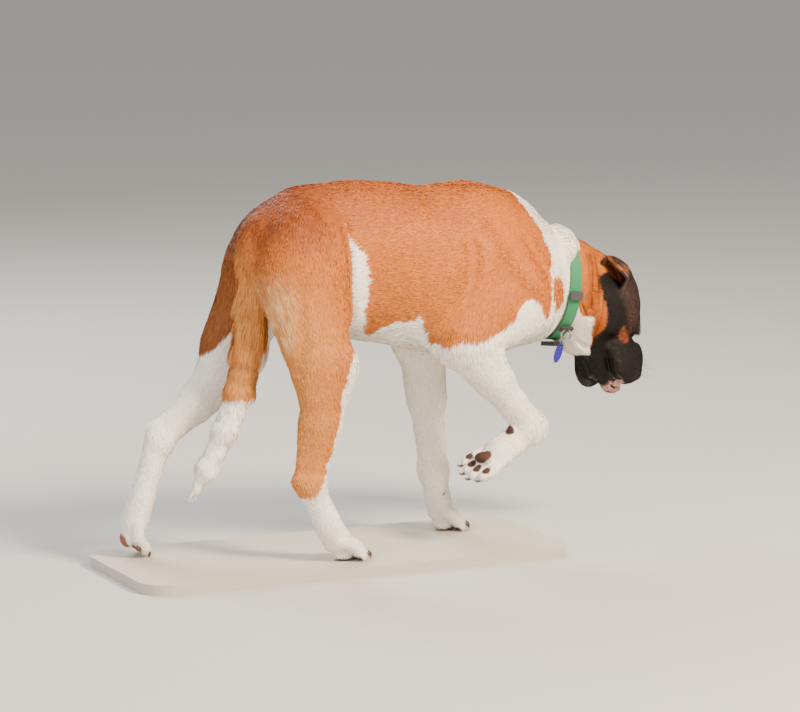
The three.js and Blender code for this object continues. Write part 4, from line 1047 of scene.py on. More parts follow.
def whiteness(p):
    """How far inside a white marking each place is, in metres; less than 0 outside them all."""
    x, y, z = p.T
    right = y < -0.02
    flat = p[:, [0, 2]]
    stripe = np.full(len(p), -1.0)
    for a, b in zip(FLANK, FLANK[1:]):
        along = b[:2] - a[:2]
        t = np.clip((flat - a[:2]) @ along / (along @ along), 0, 1)
        away = np.linalg.norm(flat - a[:2] - t[:, None] * along, axis=1)
        stripe = np.maximum(stripe, a[2] + (b[2] - a[2]) * t - away)
    stripe = np.where(right, stripe, -1.0)
    belly = np.where((x > -0.30) & (x < 0.060) & (z > 0.30), belly_line(x) - z, -1.0)
    belly = np.where((x < -0.13) & (np.abs(y) > 0.060), -1.0, belly)
    chest = np.where((x > -0.01) & (z < 0.50), chest_line(x) - z + 0.012 * (y > 0), -1.0)
    ring = x - ring_line(z) - 0.010 * (y > 0)
    brown_patch = 1 - np.linalg.norm((p - [0.283, -0.112, 0.492]) / [0.016, 0.050, 0.030], axis=1)
    ring = np.where(past_collar(p) < 0.02, np.minimum(ring, -0.02 * brown_patch), -1.0)
    tail = np.where(tail_flesh.at(p) < 0.006, 0.320 - z + 0.05 * (x + 0.34), -1.0)
    shin = np.where((x < -0.10) & (y < 0) & (z < 0.42), 0.906 * x - 0.423 * y - shin_line(z) + 0.005, -1.0)
    hind_right = np.where((x < -0.05) & (y < 0) & (z < 0.20), 0.132 - z, -1.0)
    hind_left = np.where((x < -0.16) & (y > 0.03), 0.430 + 1.15 * (x + 0.335) - z, -1.0)
    return np.maximum.reduce([stripe, belly, chest, ring, tail, shin, hind_right, hind_left])


middle_of_belly = np.array([[-0.05, -0.05, 0.40]])
print("the belly is white for", (1000 * whiteness(middle_of_belly)).round(), "mm round its middle")

# %% [markdown]
# ## The markings of the head
# The mask and the blaze lie on a shape that turns fast, so their edges are drawn on the head's own places,
# along the muzzle and up from the line of the nose. The throat is drawn like the neck, on the dog's own.

# %% The mask, the throat and the blaze
# Lower, rear and upper edge of the black mask on the side of the head, in head places
mask_line = eased([-0.060, -0.037, -0.010, 0.015, 0.045, 0.070, 0.090],
                  [-0.049, -0.054, -0.066, -0.077, -0.098, -0.112, -0.160])
mask_back = eased([-0.070, -0.052, -0.040, -0.024, -0.004, 0.020],
                  [-0.030, -0.040, -0.057, -0.068, -0.060, -0.045])
mask_top = eased([-0.070, -0.030, 0.020, 0.050, 0.080, 0.100], [0.004, 0.006, 0.012, 0.022, 0.040, 0.090])
# Edges of the white throat: the orange lobe above it, and the orange cheek before it
lobe_line = eased([0.335, 0.354, 0.367, 0.383, 0.400], [0.480, 0.453, 0.427, 0.426, 0.436])
cheek_line = eased([0.320, 0.349, 0.388, 0.424, 0.460], [0.406, 0.402, 0.393, 0.388, 0.386])
# Half width of the blaze along the head
blaze_width = eased([-0.045, -0.020, 0.030, 0.070, 0.110, 0.140],
                    [-0.003, 0.004, 0.010, 0.0065, 0.004, -0.003])


def blaze_inside(h):
    """The narrow blaze from the forehead down the bridge of the nose, in metres inside its edge."""
    inside = blaze_width(h[:, 0]) - np.abs(h[:, 1] - 0.002)
    return np.where((h[:, 2] > 0) & (h[:, 0] > -0.045) & (h[:, 0] < 0.14), inside, -1.0)


def face_whiteness(h, p):
    """White of the throat, the blaze and the roll of the nape, in metres inside their edges."""
    x, _, z = p.T
    throat = np.minimum(lobe_line(x) - z, cheek_line(z) - x)
    blaze = blaze_inside(h)
    roll = np.where(z > 0.545, 0.012 + 0.9 * (z - 0.548) - past_collar(p), -1.0)
    return np.maximum.reduce([throat, blaze, roll])


print("the blaze is", round(2000 * float(blaze_width(0.030))), "mm wide at the stop of the forehead")

# %% [markdown]
# ## One colour for every place
# Skin and hair ask the same function for their colour, so no marking ends at a piece's edge. It lays one
# colour over another: the ground colour, its shading, the mask, the white, and last the bare soles.

# %% The colour at any place
# Soles of the feet: middle, reach and colour of each patch of bare skin, with a pink spot on the lifted paw
PAD_DARK, PAD_PINK, PINK_SPOT = colour("#4A3026"), colour("#8C5A49"), colour("#C58877")
soles = [(place, size, PAD_PINK if name == "hind_left" else PAD_DARK) for name, (place, size) in pads]
soles += [(np.array(place) + [-0.004, 0, 0], 0.010, PAD_DARK) for place in WRIST_PADS]
soles.append((np.array([0.158, -0.099, 0.192]), 0.0065, PINK_SPOT))


def coat_colour(p):
    """The colour of hair and skin at each place, from the ground colour up to the markings and the soles."""
    p = np.asarray(p, float)
    x, y, z = p.T
    ragged = 0.008 * noise(p, 0.020, 1) + 0.006 * noise(p, 0.0055, 2) + 0.004 * noise(p, 0.0022, 3)

    def blend(base, tint, amount):
        return base + (np.array(tint[:3]) - base) * np.clip(amount, 0, 1)[:, None]

    shade = np.tile(ORANGE[:3], (len(p), 1))
    top = smooth(z, 0.60, 0.70) * smooth(x, 0.28, 0.05)
    rump = smooth(x, -0.10, -0.24) * smooth(z, 0.56, 0.66)
    speckle = 0.5 + 1.3 * noise(p, 0.007, 4) + 0.6 * noise(p, 0.025, 5)
    shade = blend(shade, RED, 0.45 * top + 0.75 * rump + 0.5 * noise(p, 0.05, 6))
    shade = blend(shade, DARK_RED, (0.15 * top + 0.45 * rump) * np.clip(speckle, 0, 1))
    thigh = smooth(x, -0.16, -0.25) * smooth(z, 0.60, 0.50) * (y < 0)
    shade = blend(shade, PALE, 0.55 * thigh + 0.25 * smooth(z, 0.56, 0.42) * smooth(x, 0.2, -0.1))
    on_tail = smooth(tail_flesh.at(p), 0.008, 0.0) * smooth(z, 0.62, 0.55)
    behind = smooth(x, -0.262, -0.290) * smooth(z, 0.38, 0.44) * smooth(z, 0.62, 0.56) * (1 - on_tail)
    streaks = 0.45 + 1.1 * noise(p * [1, 1, 0.35], 0.008, 7)
    shade = blend(shade, CREAM, 0.9 * behind * (y < -0.025) * streaks * smooth(z, 0.57, 0.50))
    shade = blend(shade, PALE, 0.45 * on_tail)
    # The far hind leg is painted brown: partly its darker hair, partly painted shade where the tail and the
    # near thigh shade it
    far_leg_dark_and_shade = (y > 0.02) * smooth(x, -0.24, -0.30) * (1 - on_tail)
    shade = blend(shade, BROWN_AND_SHADE, 0.55 * far_leg_dark_and_shade)
    white = whiteness(p) + ragged
    face = past_collar(p) > 0.0
    if face.any():
        h = head_places(p[face])
        edge = 0.5 * ragged[face]
        fur = blend(shade[face], RED, 0.30 * smooth(h[:, 0], -0.10, -0.03))
        round_eyes = 0.6 * (np.minimum(np.abs(h[:, 1]), 0.045) - 0.030) * smooth(h[:, 2], 0.0, 0.02)
        mask = np.minimum.reduce([h[:, 2] - mask_line(h[:, 0]), h[:, 0] - mask_back(h[:, 2]),
                                  mask_top(h[:, 0] + round_eyes + 1.5 * edge) - h[:, 2]]) + edge
        spot = np.linalg.norm((h - [0.070, -0.062, -0.032]) / [0.020, 0.030, 0.009], axis=1)
        under = (p[face, 1] < 0.03) & (p[face, 2] > 0.343)
        mask = np.where(under, np.minimum(mask, p[face, 0] - 0.400 + edge), mask)
        fade = 0.003 + 0.010 * smooth(h[:, 2], 0.005, 0.03)
        black = smooth(mask / fade, -0.8, 1.0) * smooth(spot, 0.8, 1.2)
        fur = blend(fur, BLACK, black)
        fur = blend(fur, TAN, smooth(spot, 1.2, 0.8))
        flap = smooth(ear_flesh.at(p[face]), 0.004, 0.001)
        streak = 0.75 + 1.2 * noise(p[face], 0.010, 4)
        fur = blend(fur, EAR, flap * np.where(p[face, 2] > 0.515, streak, 1.0))
        # A painted rim of light: the free edges of the ears are painted paler, as if light catches them
        fur = blend(fur, PAINTED_RIM_LIGHT, 0.7 * flap * smooth(rim_distance(p[face]), 0.0035, 0.0015))
        pocket = np.linalg.norm((h - [-0.050, -0.066, 0.012]) / [0.016, 0.030, 0.014], axis=1)
        fur = blend(fur, POCKET, smooth(pocket, 1.1, 0.8))
        chin = np.linalg.norm((h - [0.174, -0.002, -0.071]) / [0.034, 0.034, 0.020], axis=1)
        chin_fur = blend(np.tile(PINK[:3], (len(h), 1)), BLACK, smooth(noise(p[face], 0.006, 13), 0.12, 0.25))
        fur += (chin_fur - fur) * smooth(chin, 1.05, 0.9)[:, None]
        shade[face] = fur
        inside = face_whiteness(h, p[face]) + edge
        dark = (black > 0.5) | (flap > 0.5) | (chin < 1)
        white[face] = np.where(dark & (blaze_inside(h) < -0.004), np.minimum(inside, -0.01), inside)
    shade = blend(shade, WHITE, smooth(white, -0.0012, 0.0012))
    for place, size, tint in soles:
        shade = blend(shade, tint, smooth(np.linalg.norm(p - place, axis=1), size * 1.15, size))
    return shade


print(len(soles), "patches of bare skin on the feet")

# %% [markdown]
# ## Bare and damp skin
# Hair stops at the pads of the feet, at the edges of the lips and at the rims of the lids. The lips and rims
# are wet too, and a marking of that kind is a distance like the others.

# %% Bare and damp skin
# Edges of the lips, which are wet, on the head's left side
LIP_EDGE = np.array([[0.088, 0.040, -0.068], [0.106, 0.046, -0.078], [0.131, 0.046, -0.092],
                     [0.153, 0.040, -0.080], [0.168, 0.024, -0.068], [0.176, 0.0, -0.060]])
INNER_LIP = np.array([[0.100, 0.026, -0.070], [0.125, 0.025, -0.076], [0.150, 0.022, -0.076]])


def dampness(p):
    """1 on wet lips and at the corners of the eyes, 0 on dry hair."""
    h = head_places(p)
    h[:, 1] = np.abs(h[:, 1])
    lips = smooth(np.minimum(line_distance(h, LIP_EDGE), line_distance(h, INNER_LIP) - 0.003), 0.0085, 0.0045)
    rims = np.min([np.linalg.norm(p - eye_place(side), axis=1) for side in (LEFT, RIGHT)], axis=0)
    return np.maximum(lips, smooth(rims, 0.0150, 0.0132)) * (past_collar(p) > 0)


def bareness(p):
    """1 where the skin has no hair: soles, lips, the rims of the lids."""
    bare = dampness(p)
    for place, size, _ in soles:
        bare = np.maximum(bare, smooth(np.linalg.norm(p - place, axis=1), size * 1.12, size * 0.98))
    return bare


print("all pads are bare:", bool((bareness(np.array([place for place, _, _ in soles])) > 0.99).all()))

# %% [markdown]
# ## The skin as one piece
# All shells go into one mesh. It carries the coat's colours for every point, and how damp the skin is there.

# %% The skin
SKIN_BUMP = 0.0006  # how far the bump of the short hair seems to stand up


def value_layer(mesh, name, values):
    layer = mesh.attributes.new(name, "FLOAT", "POINT")
    layer.data.foreach_set("value", np.asarray(values, np.float32))


def colour_layer(mesh, name, colours):
    layer = mesh.color_attributes.new(name, "FLOAT_COLOR", "POINT")
    opaque = np.column_stack([colours, np.ones(len(colours))]).astype(np.float32)
    layer.data.foreach_set("color", opaque.ravel())


starts = np.cumsum([0] + [len(points) for points, _ in shells])
skin_points = np.vstack([points for points, _ in shells])
skin_quads = np.vstack([quads + start for (_, quads), start in zip(shells, starts)])
skin_quads = facing_out(skin_points, skin_quads, head.at)
skin_mesh = quick_mesh("skin", skin_points, skin_quads, 4)
colour_layer(skin_mesh, "coat", coat_colour(skin_points))
value_layer(skin_mesh, "damp", dampness(skin_points))
skin = shown("skin", skin_mesh, "orange_coat")
FLESH_NODES = ["torso", "neck", "head", "lower_jaw", "tail", "ear_left", "ear_right"]
FLESH_NODES += [f"{leg}leg_{side}" for leg in ("fore", "hind") for side in ("left", "right")]
FLESH_NODES += [f"paw_{name}" for name in PAWS]
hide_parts(*FLESH_NODES)
normals = np.empty(len(skin_points) * 3, np.float32)
skin_mesh.vertices.foreach_get("normal", normals)
skin_normals = normals.reshape(-1, 3).astype(float)
print("skin:", len(skin_points), "points,", 2 * len(skin_quads), "triangles")

# %% [markdown]
# ## An unwrap of the skin
# The model is painted through a flat map of the skin. Like a hide cut into panels, the skin is cut
# by part of the body and by the six ways that it faces, and the panels lie side by side on one square.

# %% The flat map
LEG_TOP = 0.40
PANEL_GAP = 0.006


def region_of(middles):
    """0 the trunk and neck, 1 the legs, 2 the tail, 3 the feet, 4 the head, 5 the ears."""
    region = np.zeros(len(middles), int)
    region[(middles[:, 2] < LEG_TOP)] = 1
    region[tail_flesh.at(middles) < -0.003] = 2
    region[past_foot(middles) < 0] = 3
    region[past_collar(middles) > 0.0] = 4
    region[ear_flesh.at(middles) < 0.003] = 5
    return region


def flat_map(points, quads, normals):
    """The place of every corner of every face on a square one unit wide."""
    middles = points[quads].mean(1)
    region = region_of(middles)
    part = region * 4 + (middles[:, 1] > 0.02) * 2 + (middles[:, 0] > -0.05)
    facing = normals[quads].mean(1)
    axis = np.abs(facing).argmax(1)
    panel = part * 6 + axis * 2 + (facing[np.arange(len(quads)), axis] > 0)
    places = np.empty((len(quads), 4, 2))
    rectangles = []
    for number in np.unique(panel):
        inside = panel == number
        keep = [i for i in range(3) if i != axis[inside][0]]
        corners = points[quads[inside]][:, :, keep]
        low = corners.reshape(-1, 2).min(0)
        places[inside] = corners - low
        rectangles.append((corners.reshape(-1, 2).max(0) - low, number))
    wide = math.sqrt(sum((size + PANEL_GAP).prod() for size, _ in rectangles)) * 1.08
    across, up, shelf = 0.0, 0.0, 0.0
    for size, number in sorted(rectangles, key=lambda r: -r[0][1]):
        if across + size[0] > wide:
            across, up, shelf = 0.0, up + shelf + PANEL_GAP, 0.0
        places[panel == number] += [across, up]
        across, shelf = across + size[0] + PANEL_GAP, max(shelf, size[1])
    return region, places / max(wide + PANEL_GAP, up + shelf + PANEL_GAP) * 0.995 + 0.002


def bake_map(mesh, places):
    layer = mesh.uv_layers.new(name="OFBake")
    layer.data.foreach_set("uv", np.asarray(places, np.float32).ravel())


region, skin_flat = flat_map(skin_points, skin_quads, skin_normals)
bake_map(skin_mesh, skin_flat)
# Where two shells overlap, only the one that a region belongs to carries hair
face_shell = np.repeat([0] + [1] * len(foot_middles) + [2], [len(quads) for _, quads in shells])
hairy_faces = face_shell == np.array([0, 0, 0, 1, 2, 2])[region]
print("panels reach", skin_flat.reshape(-1, 2).max(0).round(3), "of the square")

# %% [markdown]
# ## Where the tufts grow
# Real hair this short lies in flat, overlapping tufts, evenly over each part of the body. So the roots are
# drawn by the area of the faces, and each one knows its place on the flat map too.

# %% Where the tufts grow
random = np.random.default_rng(3)


def roots_on(chosen, count):
    """Places spread evenly over some faces of the skin, with the way out and the place on the flat map."""
    a, b, c, d = (skin_points[skin_quads[chosen, i]] for i in range(4))
    area = np.linalg.norm(np.cross(c - a, d - b), axis=1) / 2
    pick = random.choice(len(chosen), count, p=area / area.sum())
    u, w = random.random((2, count, 1))

    def between(corners):
        a, b, c, d = (corners[:, i] for i in range(4))
        return (a * (1 - u) + b * u) * (1 - w) + (d * (1 - u) + c * u) * w

    faces = chosen[pick]
    corner_normals = skin_normals[skin_quads[faces]]
    return between(skin_points[skin_quads[faces]]), unit(between(corner_normals)), between(skin_flat[faces])


print("tufts grow on", int(hairy_faces.sum()), "faces of the skin")

# %% [markdown]
# ## One tuft
# A tuft is a thin blade rooted in the skin and bent down along the body. Three triangles are enough for a
# clean taper, and they leave room for many tufts. On the flat map each one is a small patch at its root.

# %% One tuft
TUFT_BEND = 0.55  # where along its length a tuft bends
ROLL_SPREAD = 0.30  # how far tufts are turned about their length, in radians
ROOT_SINK = 0.0006  # how deep the root sits in the skin
ROOT_SHADE = 0.88  # hair is a little darker at its root
# The five points of a tuft on the flat map, in widths of its patch
PATCH = 0.003
PATCH_SHAPE = np.array([[-0.5, -0.5], [0.5, -0.5], [-0.45, 0.1], [0.45, 0.1], [0.0, 0.5]]) * PATCH
BLADE = np.array([[0, 1, 3], [0, 3, 2], [2, 3, 4]])


def tufts(name, slot, place, out, flat, lie, length, width, lift, shade, tip_shade):
    """A mesh of flat blades: two triangles for the lower part of each and one for its tip."""
    count = len(place)
    lie = unit(lie - (lie * out).sum(1)[:, None] * out)
    across = np.cross(lie, out)
    low = unit(lie * np.cos(lift)[:, None] + out * np.sin(lift)[:, None])
    high = unit(lie + out * (0.25 * np.sin(lift))[:, None])
    roll = random.normal(0, ROLL_SPREAD, count)[:, None]
    wide = across * np.cos(roll) + out * np.sin(roll)
    bend = place + low * (length * TUFT_BEND)[:, None]
    end = bend + high * (length * (1 - TUFT_BEND))[:, None]
    half = (width / 2)[:, None] * wide
    root = place - out * ROOT_SINK
    slim = half * 0.85
    points = np.stack([root - half, root + half, bend - slim, bend + slim, end], 1).reshape(-1, 3)
    base = 5 * np.arange(count)[:, None]
    faces = (base[:, :, None] + BLADE[None]).reshape(-1, 3)
    mesh = quick_mesh(name, points, faces, 3)
    bake_map(mesh, np.clip(flat[:, None, None] + PATCH_SHAPE[BLADE][None], 0.0005, 0.9995))
    dark = shade * ROOT_SHADE
    colours = np.stack([dark, dark, shade, shade, tip_shade], 1).reshape(-1, 3)
    colour_layer(mesh, "coat", colours)
    return shown(name, mesh, slot)


print("a tuft has", len(BLADE), "triangles and a patch of", PATCH, "on the flat map")

# %% [markdown]
# ## The coat, region by region
# Hair is longest on the tail and behind the thighs and shortest on the face, ears and feet. Neighbouring
# tufts share a clump, which sets their length, lift and shade together, and differ a little within it.

# %% The coat, region by region
# Per region: slot, tufts, length, width, lift in degrees
COATS = [
    ("coat_trunk", "orange_coat", 175000, 0.0125, 0.0016, 6),
    ("coat_legs", "white_coat", 72000, 0.0095, 0.0015, 7),
    ("coat_tail", "orange_coat", 34000, 0.022, 0.0018, 12),
    ("coat_feet", "white_coat", 30000, 0.0060, 0.0010, 8),
    ("coat_head", "dark_coat", 90000, 0.0058, 0.0009, 6),
    ("coat_ears", "dark_coat", 30000, 0.0060, 0.0009, 5),
]
PIECE_TUFTS = 62000


def longer(p):
    """How many times longer the hair is behind the thighs and under the chest, or shorter round the eyes."""
    x, y, z = p.T
    thigh = smooth(x, -0.268, -0.290) * smooth(z, 0.36, 0.44) * smooth(z, 0.57, 0.50)
    edge = smooth(z, 0.440, 0.390) * smooth(z, 0.350, 0.375) * smooth(x, -0.20, -0.12)
    near_eyes = np.min([np.linalg.norm(p - eye_place(side), axis=1) for side in (LEFT, RIGHT)], axis=0)
    rim = np.ones(len(p))
    near_ear = np.flatnonzero(past_collar(p) > 0)
    rim[near_ear] = 0.55 + 0.45 * smooth(rim_distance(p[near_ear]), 0.003, 0.008)
    return (1 + 0.9 * thigh + 0.6 * edge) * (0.30 + 0.70 * smooth(near_eyes, 0.014, 0.032)) * rim


share = 1.0
coats = []
for number, (name, slot, count, length, width, lift) in enumerate(COATS):
    place, out, flat = roots_on(np.flatnonzero((region == number) & hairy_faces), int(count * share))
    hairy = bareness(place) < 0.5
    place, out, flat = place[hairy], out[hairy], flat[hairy]
    clump = noise(place, 0.012, 8) + 0.5 * noise(place, 0.004, 9)
    lie = unit(head.lie_at(place)) + 0.30 * np.stack([noise(place, 0.03, i) for i in (10, 11, 12)], 1)
    lie = lie + random.normal(0, 0.11, place.shape)
    sizes = length * (1 + 0.25 * clump) * random.uniform(0.75, 1.15, len(place)) * longer(place)
    lifts = np.radians(lift) * (1 + 0.7 * clump) * random.uniform(0.5, 1.5, len(place))
    shade = coat_colour(place + random.normal(0, 0.0005, place.shape))
    shade = shade * (1 + 0.16 * clump + random.normal(0, 0.07, len(place)))[:, None]
    shade = np.clip(shade, 0.003, 0.95)
    tip = np.clip(shade * random.uniform(1.0, 1.25, len(place))[:, None], 0, 0.97)
    widths = width * random.uniform(0.7, 1.3, len(place))
    parts = int(np.ceil(len(place) / PIECE_TUFTS))
    for k in range(parts):
        s = slice(k, None, parts)
        label = name if parts == 1 else f"{name}_{k + 1}"
        rooted = place[s], out[s], flat[s], lie[s]
        coats.append(tufts(label, slot, *rooted, sizes[s], widths[s], lifts[s], shade[s], tip[s]))
print("coat:", {piece.name: len(piece.data.polygons) for piece in coats})

# %% [markdown]
# ## Coat and skin materials
# Hair is a weak, soft mirror: it has a broad highlight, which grows stronger where light grazes it. The skin
# below it has the same colours, with a fine bump of short hairs.

# %% Materials of hair and skin
HAIR_GRAIN = 900.0  # so many grains along a piece that each is 1 mm or finer
# Hair has a broad weak highlight, and its fine grain keeps one tuft from looking like paint
coat_material, tree, shader = new_material("dog hair, short and clean", Roughness=0.60, IOR=1.55,
                                           Specular_IOR_Level=0.25)
tint = add(tree, "ShaderNodeAttribute", attribute_name="coat")
grain = add(tree, "ShaderNodeTexNoise", {"Scale": HAIR_GRAIN, "Detail": 2.0})
tone = add(tree, "ShaderNodeMapRange", {"Value": grain.outputs["Fac"], "To Min": 0.86, "To Max": 1.12})
shaded = add(tree, "ShaderNodeVectorMath", {0: tint.outputs["Color"], "Scale": tone.outputs["Result"]},
             operation="SCALE")
tree.links.new(shaded.outputs["Vector"], shader.inputs["Base Color"])

SKIN_FUZZ = 700.0
# Skin under the hair is dull and a little darker than the tufts, and shines only where it is damp
skin_material, tree, shader = new_material("dog skin under short hair", Roughness=0.75, IOR=1.45,
                                            Specular_IOR_Level=0.25)
tint = add(tree, "ShaderNodeAttribute", attribute_name="coat")
darker = add(tree, "ShaderNodeVectorMath", {0: tint.outputs["Color"], "Scale": 0.85}, operation="SCALE")
tree.links.new(darker.outputs["Vector"], shader.inputs["Base Color"])
wet = add(tree, "ShaderNodeAttribute", attribute_name="damp")
gloss = add(tree, "ShaderNodeMapRange", {"Value": wet.outputs["Fac"], "To Min": 0.75, "To Max": 0.22})
tree.links.new(gloss.outputs["Result"], shader.inputs["Roughness"])
fuzz = add(tree, "ShaderNodeTexNoise", {"Scale": SKIN_FUZZ, "Detail": 3.0})
bump = add(tree, "ShaderNodeBump", {"Height": fuzz.outputs["Fac"], "Distance": SKIN_BUMP, "Strength": 0.5})
tree.links.new(bump.outputs["Normal"], shader.inputs["Normal"])
skin_mesh.materials.append(skin_material)
for piece in coats:
    piece.data.materials.append(coat_material)
print("hair and skin share the layer named coat")

# %% [markdown]
# ## Rings and rods
# Thin round things, such as whiskers and the rims of the lids, are rings of points along a line with faces
# between them. One function makes the faces, and another runs the rings along a bent line.

# %% Rings and rods
def ring_faces(rows, columns, closed=True):
    """Faces between rings of points, where the end rings are closed by one face each."""
    faces = [(i * columns + j, i * columns + (j + 1) % columns,
              (i + 1) * columns + (j + 1) % columns, (i + 1) * columns + j)
             for i in range(rows - 1) for j in range(columns)]
    if closed:
        faces.append(tuple(range(columns))[::-1])
        faces.append(tuple(range((rows - 1) * columns, rows * columns)))
    return faces


def rod(line, radii, sides=8):
    """Rings of points round a bent line."""
    line, radii = np.asarray(line, float), np.asarray(radii, float)
    way = unit(np.gradient(line, axis=0))
    across = unit(np.cross(way[0], [0.31, 0.84, 0.44]))
    rings = []
    for place, ahead, radius in zip(line, way, radii):
        across = unit(across - ahead * (across @ ahead))
        up = np.cross(ahead, across)
        turn = np.linspace(0, 2 * math.pi, sides, endpoint=False)[:, None]
        rings.append(place + radius * (np.cos(turn) * across + np.sin(turn) * up))
    return np.vstack(rings)


def rods(name, lines, material, slot, sides=8):
    """One piece of many rods, given as pairs of a line and its radii."""
    points, faces = [], []
    for line, radii in lines:
        start = sum(len(p) for p in points)
        points.append(rod(line, radii, sides))
        faces += [tuple(start + i for i in face) for face in ring_faces(len(line), sides)]
    return new_piece(name, np.vstack(points), faces, material, slot)


print("a rod of two rings has", len(ring_faces(2, 8)), "faces")

# %% [markdown]
# ## The eyes
# A dog's eye is a ball of 24 mm whose clear front bulges a little. The dark brown iris fills nearly all
# that the lids leave open, with a black pupil and a darker ring round it. The rims of the lids are bare,
# dark and wet, so they are rods of their own along the edges of the folds.

# %% The eyes and the rims of the lids
CORNEA_BULGE = 0.0010
IRIS_FIBRES = 1400.0  # so fine that they only break up the brown a little
# The film of tears makes the ball a clear, sharp mirror over the brown
eye_material, tree, shader = new_material("wet eye of a dog", Roughness=0.03, IOR=1.38,
                                          Specular_IOR_Level=0.7)
gaze = add(tree, "ShaderNodeAttribute", attribute_name="gaze")
# The cosine of the way out of the gaze: white of the eye, ring, iris and pupil
iris = add(tree, "ShaderNodeValToRGB", {"Fac": gaze.outputs["Fac"]},
           stops=[(0.66, "#B9A08E"), (0.72, "#1A0F0A"), (0.78, "#3A2010"), (0.88, "#5E3517"),
                  (0.950, "#6B4220"), (0.962, "#070504"), (1.0, "#050404")])
fibres = add(tree, "ShaderNodeTexNoise", {"Scale": IRIS_FIBRES, "Detail": 2.0})
uneven = add(tree, "ShaderNodeMapRange", {"Value": fibres.outputs["Fac"], "To Min": 0.7, "To Max": 1.3})
tinted = add(tree, "ShaderNodeVectorMath", {0: iris.outputs["Color"], "Scale": uneven.outputs["Result"]},
             operation="SCALE")
tree.links.new(tinted.outputs["Vector"], shader.inputs["Base Color"])
RINGS, AROUND = 40, 48
for side, name in ((LEFT, "left"), (RIGHT, "right")):
    out, along, up = eye_ways(side)
    lean = np.linspace(0.01, math.pi - 0.01, RINGS)
    turn = np.linspace(0, 2 * math.pi, AROUND, endpoint=False)
    far = EYE_RADIUS - 0.0003 + CORNEA_BULGE * smooth(np.cos(lean), 0.66, 0.90)
    ring = np.cos(turn)[:, None] * along + np.sin(turn)[:, None] * up
    ball = eye_place(side) + far[:, None, None] * (np.cos(lean)[:, None, None] * out
                                                   + np.sin(lean)[:, None, None] * ring[None])
    eye = new_piece(f"ball_{name}", ball.reshape(-1, 3), ring_faces(RINGS, AROUND), eye_material, "eye")
    value_layer(eye.data, "gaze", np.repeat(np.cos(lean), AROUND))
    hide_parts(f"eye_{name}")
# Wet skin gives a thin bright line along each lid
wet_skin = new_material("damp bare skin of the lids", Base_Color=colour("#241512"), Roughness=0.25,
                        IOR=1.42)[0]
rims = []
for side in (LEFT, RIGHT):
    for rise in LID_RISE.values():
        line = lid_line(side, rise * 0.64, 0.0006, 21)
        rims.append((line, 0.0010 + 0.0003 * np.sin(np.linspace(0, math.pi, 21))))
rods("lid_rims", rims, wet_skin, "nose_skin")
print("eyes of", round(2000 * EYE_RADIUS), "mm with", len(rims), "rims")

# %% [markdown]
# ## The nose
# The nose leather is a pad as wide as the nostrils are apart, with a groove down its middle. Each nostril
# is a round hole that ends in a slit to the outside. Its surface is made of small raised cells, always damp.

# %% The nose
NOSE_STEP = 0.0008
LEATHER_CELLS = 850.0  # cells in a metre, so each is 1.2 mm wide
CELL_HEIGHT = 0.0004
nose_flesh = Flesh()


def nose_limb(a, b, radius_a, radius_b, blend, join="add"):
    nose_flesh.limb(on_head(*a), on_head(*b), radius_a, radius_b, blend, join=join)


nose_flesh.lump(on_head(0.188, 0, -0.003), [0.016, 0.023, 0.017], 0.004, head_turn)
for side in (LEFT, RIGHT):
    nose_flesh.lump(on_head(0.193, side * 0.0145, -0.003), [0.012, 0.0105, 0.013], 0.006, head_turn)
    nose_limb([0.196, side * 0.003, -0.016], [0.186, side * 0.004, -0.030], 0.0060, 0.0050, 0.005)
nose_limb([0.201, 0, 0.004], [0.203, 0, -0.010], 0.006, 0.006, 0.006)
for side in (LEFT, RIGHT):
    nose_limb([0.208, side * 0.0100, -0.0045], [0.190, side * 0.0120, -0.0020], 0.0046, 0.0030, 0.003, "cut")
    nose_limb([0.203, side * 0.0130, -0.0075], [0.193, side * 0.0250, -0.0110], 0.0019, 0.0012, 0.002, "cut")
nose_limb([0.2085, 0, 0.002], [0.2075, 0, -0.012], 0.0010, 0.0014, 0.002, "cut")
nose_limb([0.2075, 0, -0.012], [0.1915, 0, -0.034], 0.0014, 0.0014, 0.002, "cut")
middle = on_head(0.190, 0, -0.008)
nose_points, nose_quads = surface(nose_flesh.at, middle - 0.036, middle + 0.036, NOSE_STEP * rough)
nose_points = settle(nose_points, nose_flesh.at)
nose_quads = facing_out(nose_points, nose_quads, nose_flesh.at)
# Damp leather shines softly, broken up by its small raised cells; the grooves between the cells are painted
# darker, as painted shade
leather, tree, shader = new_material("nose leather, damp", Roughness=0.30, IOR=1.42, Coat_Weight=0.25,
                                     Coat_Roughness=0.15)
here = add(tree, "ShaderNodeTexCoord")
cells = add(tree, "ShaderNodeTexVoronoi", {"Vector": here.outputs["Object"], "Scale": LEATHER_CELLS})
cell_groove_shade = add(tree, "ShaderNodeValToRGB", {"Fac": cells.outputs["Distance"]},
                stops=[(0.0, "#2A201E"), (0.55, "#181211"), (1.0, "#0C0908")])
tree.links.new(cell_groove_shade.outputs["Color"], shader.inputs["Base Color"])
pebbles = add(tree, "ShaderNodeBump", {"Height": cells.outputs["Distance"], "Distance": CELL_HEIGHT,
                                       "Strength": 0.6}, invert=True)
tree.links.new(pebbles.outputs["Normal"], shader.inputs["Normal"])
nose = new_piece("nose_leather", nose_points, nose_quads.tolist(), leather, "nose_skin")
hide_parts("nose")
nose_box = [[round(c, 3) for c in corner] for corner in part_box("nose")]
print("nose:", len(nose_points), "points, box of the solid", nose_box)

# %% [markdown]
# ## Claws and whiskers
# A dog's claws don't draw in, so every toe shows one: a curved cone of horn, blunt from walking. Stiff
# whiskers stand out of the lips in rows. Both are rods that taper, set into the flesh.

